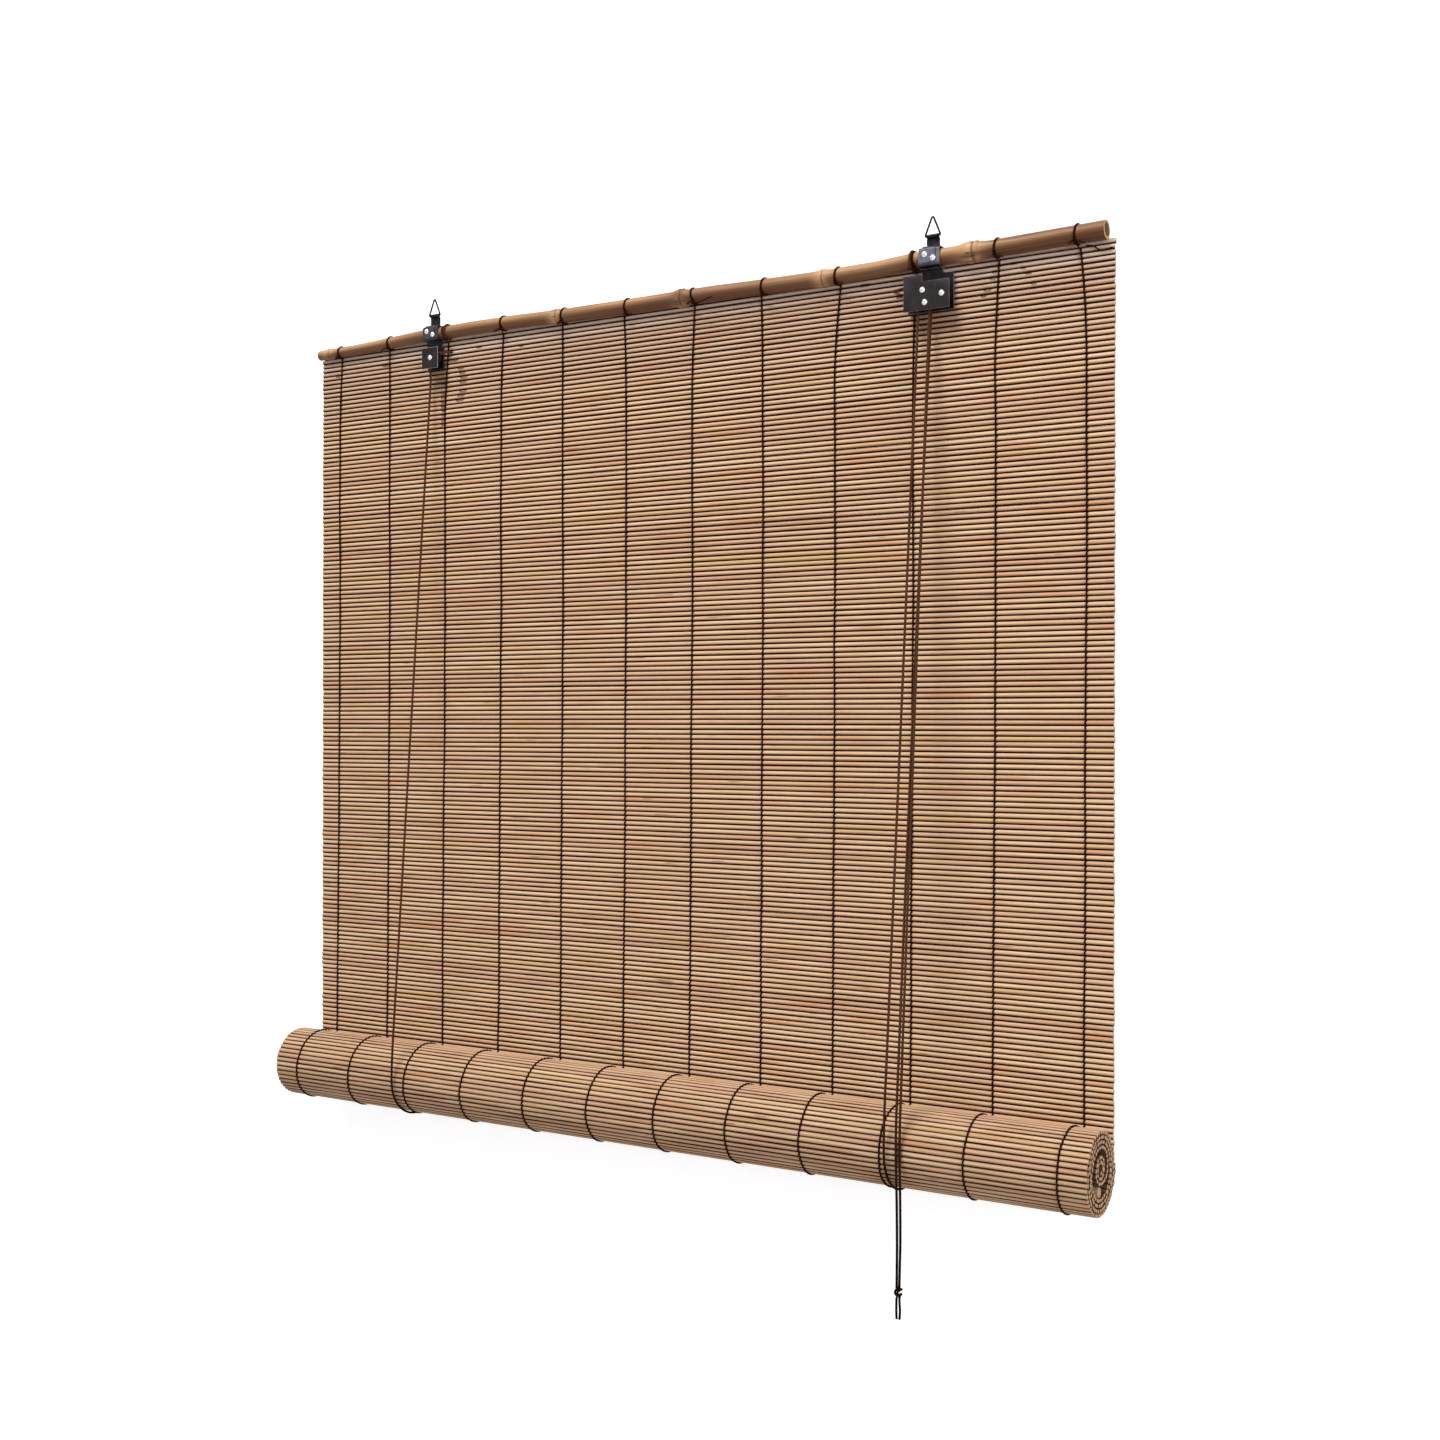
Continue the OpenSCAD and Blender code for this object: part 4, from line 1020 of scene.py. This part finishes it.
# head cane: a lathe with knuckles, hollow cut ends and a little wander
# a knuckle is place, rise and width in mm, a bore is radius, depth and shift off the middle
caneSize = {
    "knuckles": ((-484, 0.9, 1), (-138, 1.0, 1), (28, 2.1, 1.1), (199, 1.2, 1), (363, 2.3, 1.6)),
    "pale": (0.3, 0.34, 0.26, 0.24, 0.5, 0.0),  # for each length between knuckles
    "sides": 40, "parts": 166, "wobble": 0.2 * mm, "sharpAngle": 50,
    "rightBore": (6.4 * mm, 45 * mm, 0.5 * mm), "leftBore": (3.7 * mm, 11 * mm, 0.0),
}


def hump(d, at, width):
    return math.exp(-((d - at) / width) ** 2)


def caneSkin(x):  # radius with knuckles, closeness to a knuckle and to its dark rim
    r = caneRadius(x)
    near, rim = 0.0, 0.0
    for place, rise, width in caneSize["knuckles"]:
        d = (x / mm - place) / width
        if -16 < d < 16:
            r += rise * mm * (hump(d, -2, 5.5) + 0.4 * hump(d, 2.4, 1.4) - 0.3 * hump(d, 0.6, 0.7))
            near = max(near, hump(d, -1.5, 8))
            rim = max(rim, hump(d, 0.6, 0.8))
    return r, near, rim


def caneStations():  # evenly along the cane, and closer at its knuckles
    first, last = caneLow.x, caneHigh.x
    stations = {round(first + (last - first) * share, 5) for share in shares(caneSize["parts"])}
    for place, rise, width in caneSize["knuckles"]:
        close = [place * mm + d * 0.5 * width * mm for d in range(-18, 19)]
        stations |= {round(x, 5) for x in close if x > first + mm}
    return sorted(stations)


def headCane():
    n, stations = caneSize["sides"], caneStations()
    spots, faces, marks = [], [], {"knuckle": [], "rim": [], "cut": [], "height": [], "pale": []}

    def addRing(x, radius, shiftY, shiftZ, near, rim, cut):
        pale = caneSize["pale"][sum(x > place * mm for place, rise, width in caneSize["knuckles"])]
        for k in range(n):
            t = 2 * math.pi * k / n
            lump = noise.noise(Vector((x * 14, math.cos(t) * 1.2, math.sin(t) * 1.2)))
            r = radius if cut else radius + caneSize["wobble"] * lump
            spots.append((x, shiftY + r * math.cos(t), caneMid(x) + shiftZ + r * math.sin(t)))
            for label, value in zip(marks, (near, rim, cut, math.sin(t), pale)):
                marks[label].append(value)

    for x in stations:
        r, near, rim = caneSkin(x)
        addRing(x, r, 0, 0, near, rim, 0.0)
    count = len(stations)
    for i in range(count - 1):
        faces += joinRings(i, i + 1, n)
    rings = count
    for end, way, last, bore in ((caneHigh.x, -1, count - 1, "rightBore"), (caneLow.x, 1, 0, "leftBore")):
        hollow, depth, shift = caneSize[bore]
        addRing(end, caneRadius(end) - 0.15 * mm, 0, 0, 0, 0.2, 1.0)  # cut face, bore and its closed end
        # painted shade: the bore darkens towards its closed end
        profile = ((0, hollow + 0.2 * mm, 0), (0.5 * mm, hollow, 0.75), (depth * 0.4, hollow, 1.2),
                   (depth, hollow, 1.3))
        for inwards, radius, dark in profile:
            addRing(end + way * inwards, radius, shift * 0.7, shift, 0, dark, 1.0)
        faces += joinRings(last, rings, n)
        for k in range(len(profile)):
            faces += joinRings(rings + k, rings + k + 1, n)
        rings += len(profile) + 1
        faces.append(tuple(range((rings - 1) * n, rings * n)))
    mesh = closedMesh("headCane", spots, faces, marks)
    return smoothPiece("headCane", mesh, caneSize["sharpAngle"], "cane")


finishPiece(headCane(), "frame", "cane", "head_cane")
print("head cane ready")


# lashings: each warp is wound round the cane, knotted under its front and led into the mat
lash = {"radius": 0.68 * mm, "sides": 6, "turns": 2.1, "start": -118, "parts": 58, "spread": 1.7 * mm,
        "lean": 2.6 * mm, "leanBack": (2, 6, 9), "shift": {0: 6 * mm, 11: -6 * mm}, "knot": 0.6 * mm,
        "step": 1.2 * mm, "rearStep": 1.5 * mm, "seed": 40}


def lashing(index):
    chance = random.Random(lash["seed"] + index)
    x = warps[index] + lash["shift"].get(index, 0)
    middle = caneMid(x)
    ring = caneSkin(x)[0] + lash["radius"] + 0.1 * mm
    lean = lash["lean"] * (-1 if index in lash["leanBack"] else 1) * chance.uniform(0.5, 1.1)
    wound = []
    for share in shares(lash["parts"]):
        t = math.radians(lash["start"] - 360 * lash["turns"] * share)  # starts under the front
        shift = (share - 0.5) * lash["spread"] + lean * 0.5 * math.sin(t)
        wound.append((x + shift, ring * math.cos(t), middle + ring * math.sin(t)))
    knotAt = Vector((x - lean * 0.4, -ring * 0.62, middle - ring * 0.86))
    knot = []
    for share in shares(24):
        t = 2 * math.pi * share
        p = Vector((math.sin(t) + 2 * math.sin(2 * t), -math.sin(3 * t) * 1.1,
                    math.cos(t) - 2 * math.cos(2 * t)))
        knot.append(knotAt + p * lash["knot"])
    low = warpX(index, 4 * mm)
    foot = matTop - 3.6 * mm
    drop = smoothPath([knotAt, knotAt + Vector((0.3, 1.4, -1.6)) * mm,
                       (low, matBack - twineOff, matTop - 1.6 * mm), (low, matBack - twineOff, foot)],
                      lash["step"])
    rear = smoothPath([(x, ring * 0.75, middle - ring * 0.66), (x, matBack + twineOff, matTop + 1.5 * mm),
                       (low, matBack + twineOff, foot)], lash["rearStep"])
    paths = [wound, knot, drop, rear]
    for tail in range(chance.choice((1, 1, 2))):  # loose cut ends at the knot
        way = chance.choice((-1, 1))
        reach = way * chance.uniform(4, 11) * mm
        bow = chance.uniform(-2, 1.5) * mm
        bends = ((0.4 * reach, -0.9 * mm, bow), (0.75 * reach, -0.7 * mm, bow * 0.4 - mm),
                 (reach, -0.5 * mm, bow - 1.8 * mm))
        paths.append(smoothPath([knotAt] + [knotAt + Vector(p) for p in bends], lash["step"]))
    return paths


# the wavy end at the right and the long one near the middle: warp, depth, and points in mm from there
looseEnds = (
    (11, matBack - matThick / 2 - 1.2 * mm,
     [(2, -2, 1), (9, 0, -0.5), (14, 0, -4.5), (20, 0, -5.2), (27, 0, -4)]),
    (6, -9 * mm, [(1, 0, 1), (8, -0.5, -0.8), (17, 0, 1.2), (26, 0.5, 3.4)]),
)
lashPaths = []
for index in range(warpCount):
    lashPaths += lashing(index)
for index, y, points in looseEnds:
    start = Vector((warps[index], y, matTop))
    lashPaths.append(smoothPath([start + Vector(p) * mm for p in points], lash["rearStep"]))
caneLashings = yarn("caneLashings", lashPaths, lash["radius"], lash["sides"], "thread")
finishPiece(caneLashings, "frame", "thread", "cane_lashings")
print("lashings ready")


# rod that the mat is wound on: a plain round stick with cut ends
rodSize = {"sides": 32, "parts": 20, "lump": 0.12 * mm, "cut": 0.5 * mm, "endShare": 0.9, "pithShare": 0.35,
           "tone": 0.35, "sharpAngle": 40}


def windingRod():
    low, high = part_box("roll_rod")
    y, z, radius = (low.y + high.y) / 2, (low.z + high.z) / 2, (high.z - low.z) / 2
    n, pith = rodSize["sides"], rodSize["pithShare"]
    spots, faces, marks = [], [], {"slatTone": [], "tip": [], "height": []}
    rings = [(low.x, pith, 1), (low.x, rodSize["endShare"], 1), (low.x + rodSize["cut"], 1, 0)]
    rings += [(low.x + (high.x - low.x) * share, 1, 0) for share in shares(rodSize["parts"])[1:-1]]
    rings += [(high.x - rodSize["cut"], 1, 0), (high.x, rodSize["endShare"], 1), (high.x, pith, 1)]
    for x, share, end in rings:
        for k in range(n):
            t = 2 * math.pi * k / n
            lump = rodSize["lump"] * noise.noise(Vector((x * 9, math.cos(t), math.sin(t))))
            r = (radius + lump) * share
            spots.append((x, y + r * math.cos(t), z + r * math.sin(t)))
            dark = 0.74 if share == pith else 0.2  # the finish darkens with it, so the pith is darker
            for label, value in zip(marks, (rodSize["tone"], float(end), dark)):
                marks[label].append(value)
    for i in range(len(rings) - 1):
        faces += joinRings(i, i + 1, n)
    faces += [tuple(range(n)), tuple(range(len(spots) - n, len(spots)))]
    mesh = closedMesh("windingRod", spots, faces, marks)
    return smoothPiece("windingRod", mesh, rodSize["sharpAngle"], "slat")


finishPiece(windingRod(), "roll", "bamboo", "roll_rod")
print("winding rod ready")


# sheet steel: a merged copy of each solid with its edges broken and marked for wear and a painted highlight
sheetSize = {"Strap": 0.25 * mm, "RingTab": 0.2 * mm, "FrontPlate": 0.35 * mm}  # width of the broken edges
sheetAngles = {"flat": 1, "edge": 35, "sharp": 20}


def brokenEdges(name, node, look, width):
    shape = bmesh.new()
    shape.from_mesh(nodes[node].data)
    bmesh.ops.remove_doubles(shape, verts=shape.verts, dist=1e-6)
    bmesh.ops.dissolve_limit(shape, angle_limit=math.radians(sheetAngles["flat"]), verts=shape.verts,
                             edges=shape.edges)
    edgeAngle = math.radians(sheetAngles["edge"])
    sharp = [e for e in shape.edges if e.is_manifold and e.calc_face_angle(0) > edgeAngle]
    made = bmesh.ops.bevel(shape, geom=sharp, offset=width, offset_type="OFFSET", segments=2, profile=0.5,
                           affect="EDGES", clamp_overlap=True)
    rims = set(made["faces"])
    worn = shape.loops.layers.float.new("worn")
    for face in shape.faces:
        face.smooth = True
        for loop in face.loops:
            loop[worn] = 1.0 if face in rims else 0.0
    bmesh.ops.triangulate(shape, faces=[f for f in shape.faces if len(f.verts) > 4])
    mesh = bpy.data.meshes.new(name)
    shape.to_mesh(mesh)
    shape.free()
    mesh.set_sharp_from_angle(angle=math.radians(sheetAngles["sharp"]))
    mesh.materials.append(finish[look])
    return newPiece(name, mesh)


for side in ("left", "right"):
    for part, node, look in (("Strap", "_strap", side + "Strap"), ("RingTab", "_ring_tab", side + "Strap"),
                             ("FrontPlate", "_front_plate", "plate")):
        sheet = brokenEdges(side + part, side + node, look, sheetSize[part])
        finishPiece(sheet, "frame", "dark_steel", side + node)
print("sheet steel ready")

# solids that are right as they are get their finish
keptSolids = {
    "wire": ("left_ring", "right_ring"),
    "rivet": ("left_tab_rivets", "right_tab_rivets", "left_axle", "right_axle", "guide_rivet", "cam_rivet",
              "left_spacer", "guide_sleeve"),
    "pulley": ("left_pulley", "right_front_pulley", "right_rear_pulley"),
    "brass": ("lock_cam",),
}
for look, names in keptSolids.items():
    for node in names:
        nodes[node].data.materials.clear()
        nodes[node].data.materials.append(finish[look])
print("kept solids finished")


# stage: white wall close behind, grey floor well below
stageLook = {"wallY": 0.024, "wallTop": 4, "floorZ": -1.6, "reach": 6, "glow": 0.62,
             "wall": (0.84, 0.85, 0.88, 1), "floor": (0.45, 0.45, 0.45, 1)}
white = (1, 1, 1, 1)


def seenItself(tree):  # 1 where a surface is seen, also in a mirror, and 0 for the light it throws
    path = addNode(tree, "ShaderNodeLightPath").outputs
    mirrored = calc(tree, "MAXIMUM", path["Is Glossy Ray"], path["Is Transmission Ray"])
    return calc(tree, "MAXIMUM", path["Is Camera Ray"], mirrored)


def stageFinish(name, colour, seeThroughBack):
    material = bpy.data.materials.new(name)
    material.use_nodes = True
    tree = material.node_tree
    tree.nodes.clear()
    matt = addNode(tree, "ShaderNodeBsdfDiffuse", {"Color": colour}).outputs[0]
    glow = calc(tree, "MULTIPLY", seenItself(tree), stageLook["glow"])
    light = addNode(tree, "ShaderNodeEmission", {"Color": white, "Strength": glow}).outputs[0]
    both = addNode(tree, "ShaderNodeAddShader", {0: matt, 1: light}).outputs[0]
    if seeThroughBack:
        clear = addNode(tree, "ShaderNodeBsdfTransparent").outputs[0]
        rear = addNode(tree, "ShaderNodeNewGeometry").outputs["Backfacing"]
        both = addNode(tree, "ShaderNodeMixShader", {0: rear, 1: both, 2: clear}).outputs[0]
    tree.links.new(both, addNode(tree, "ShaderNodeOutputMaterial").inputs["Surface"])
    return material


def stagePlane(name, corners, material):
    mesh = bpy.data.meshes.new(name)
    mesh.from_pydata(corners, [], [(0, 1, 2, 3)])
    mesh.materials.append(material)
    plane = newPiece(name, mesh)
    return plane


r, y, z, top = (stageLook[key] for key in ("reach", "wallY", "floorZ", "wallTop"))
wall = stagePlane("wall", [(-r, y, z), (r, y, z), (r, y, top), (-r, y, top)],
                  stageFinish("wall paint", stageLook["wall"], True))
stagePlane("floor", [(-r, -r, z), (r, -r, z), (r, r, z), (-r, r, z)],
           stageFinish("floor paint", stageLook["floor"], False))
wall.visible_diffuse = False
wall.visible_glossy = False
wall.visible_shadow = False

# light: soft key from the upper left, weaker fill from the right, a little on the back
lampAim = (0, 0, -0.5)
lamps = {
    "key": {"at": (-0.8, -2.6, 4.4), "size": 2.2, "power": 332},
    "fill": {"at": (3.2, -1.5, 0.0), "size": 2.0, "power": 48},
    "rear": {"at": (-1.0, 3.2, 1.6), "size": 2.4, "power": 90},
}
for name, lamp in lamps.items():
    data = bpy.data.lights.new(name, "AREA")
    data.size = lamp["size"]
    data.energy = lamp["power"]
    light = bpy.data.objects.new(name, data)
    light.location = lamp["at"]
    light.rotation_euler = (Vector(lampAim) - Vector(lamp["at"])).to_track_quat("-Z", "Y").to_euler()
    scene.collection.objects.link(light)

# a white room that is brighter to look at than the light it gives
skyLook = {"gives": 0.27, "shows": 1.0}
world = bpy.data.worlds.new("studio")
world.use_nodes = True
sky = world.node_tree
sky.nodes.clear()
skyLevel = spread(sky, seenItself(sky), 0, 1, skyLook["gives"], skyLook["shows"])
skyLight = addNode(sky, "ShaderNodeBackground", {"Color": white, "Strength": skyLevel})
sky.links.new(skyLight.outputs[0], addNode(sky, "ShaderNodeOutputWorld").inputs["Surface"])
scene.world = world
scene.view_settings.view_transform = "Standard"
print("stage and light ready")
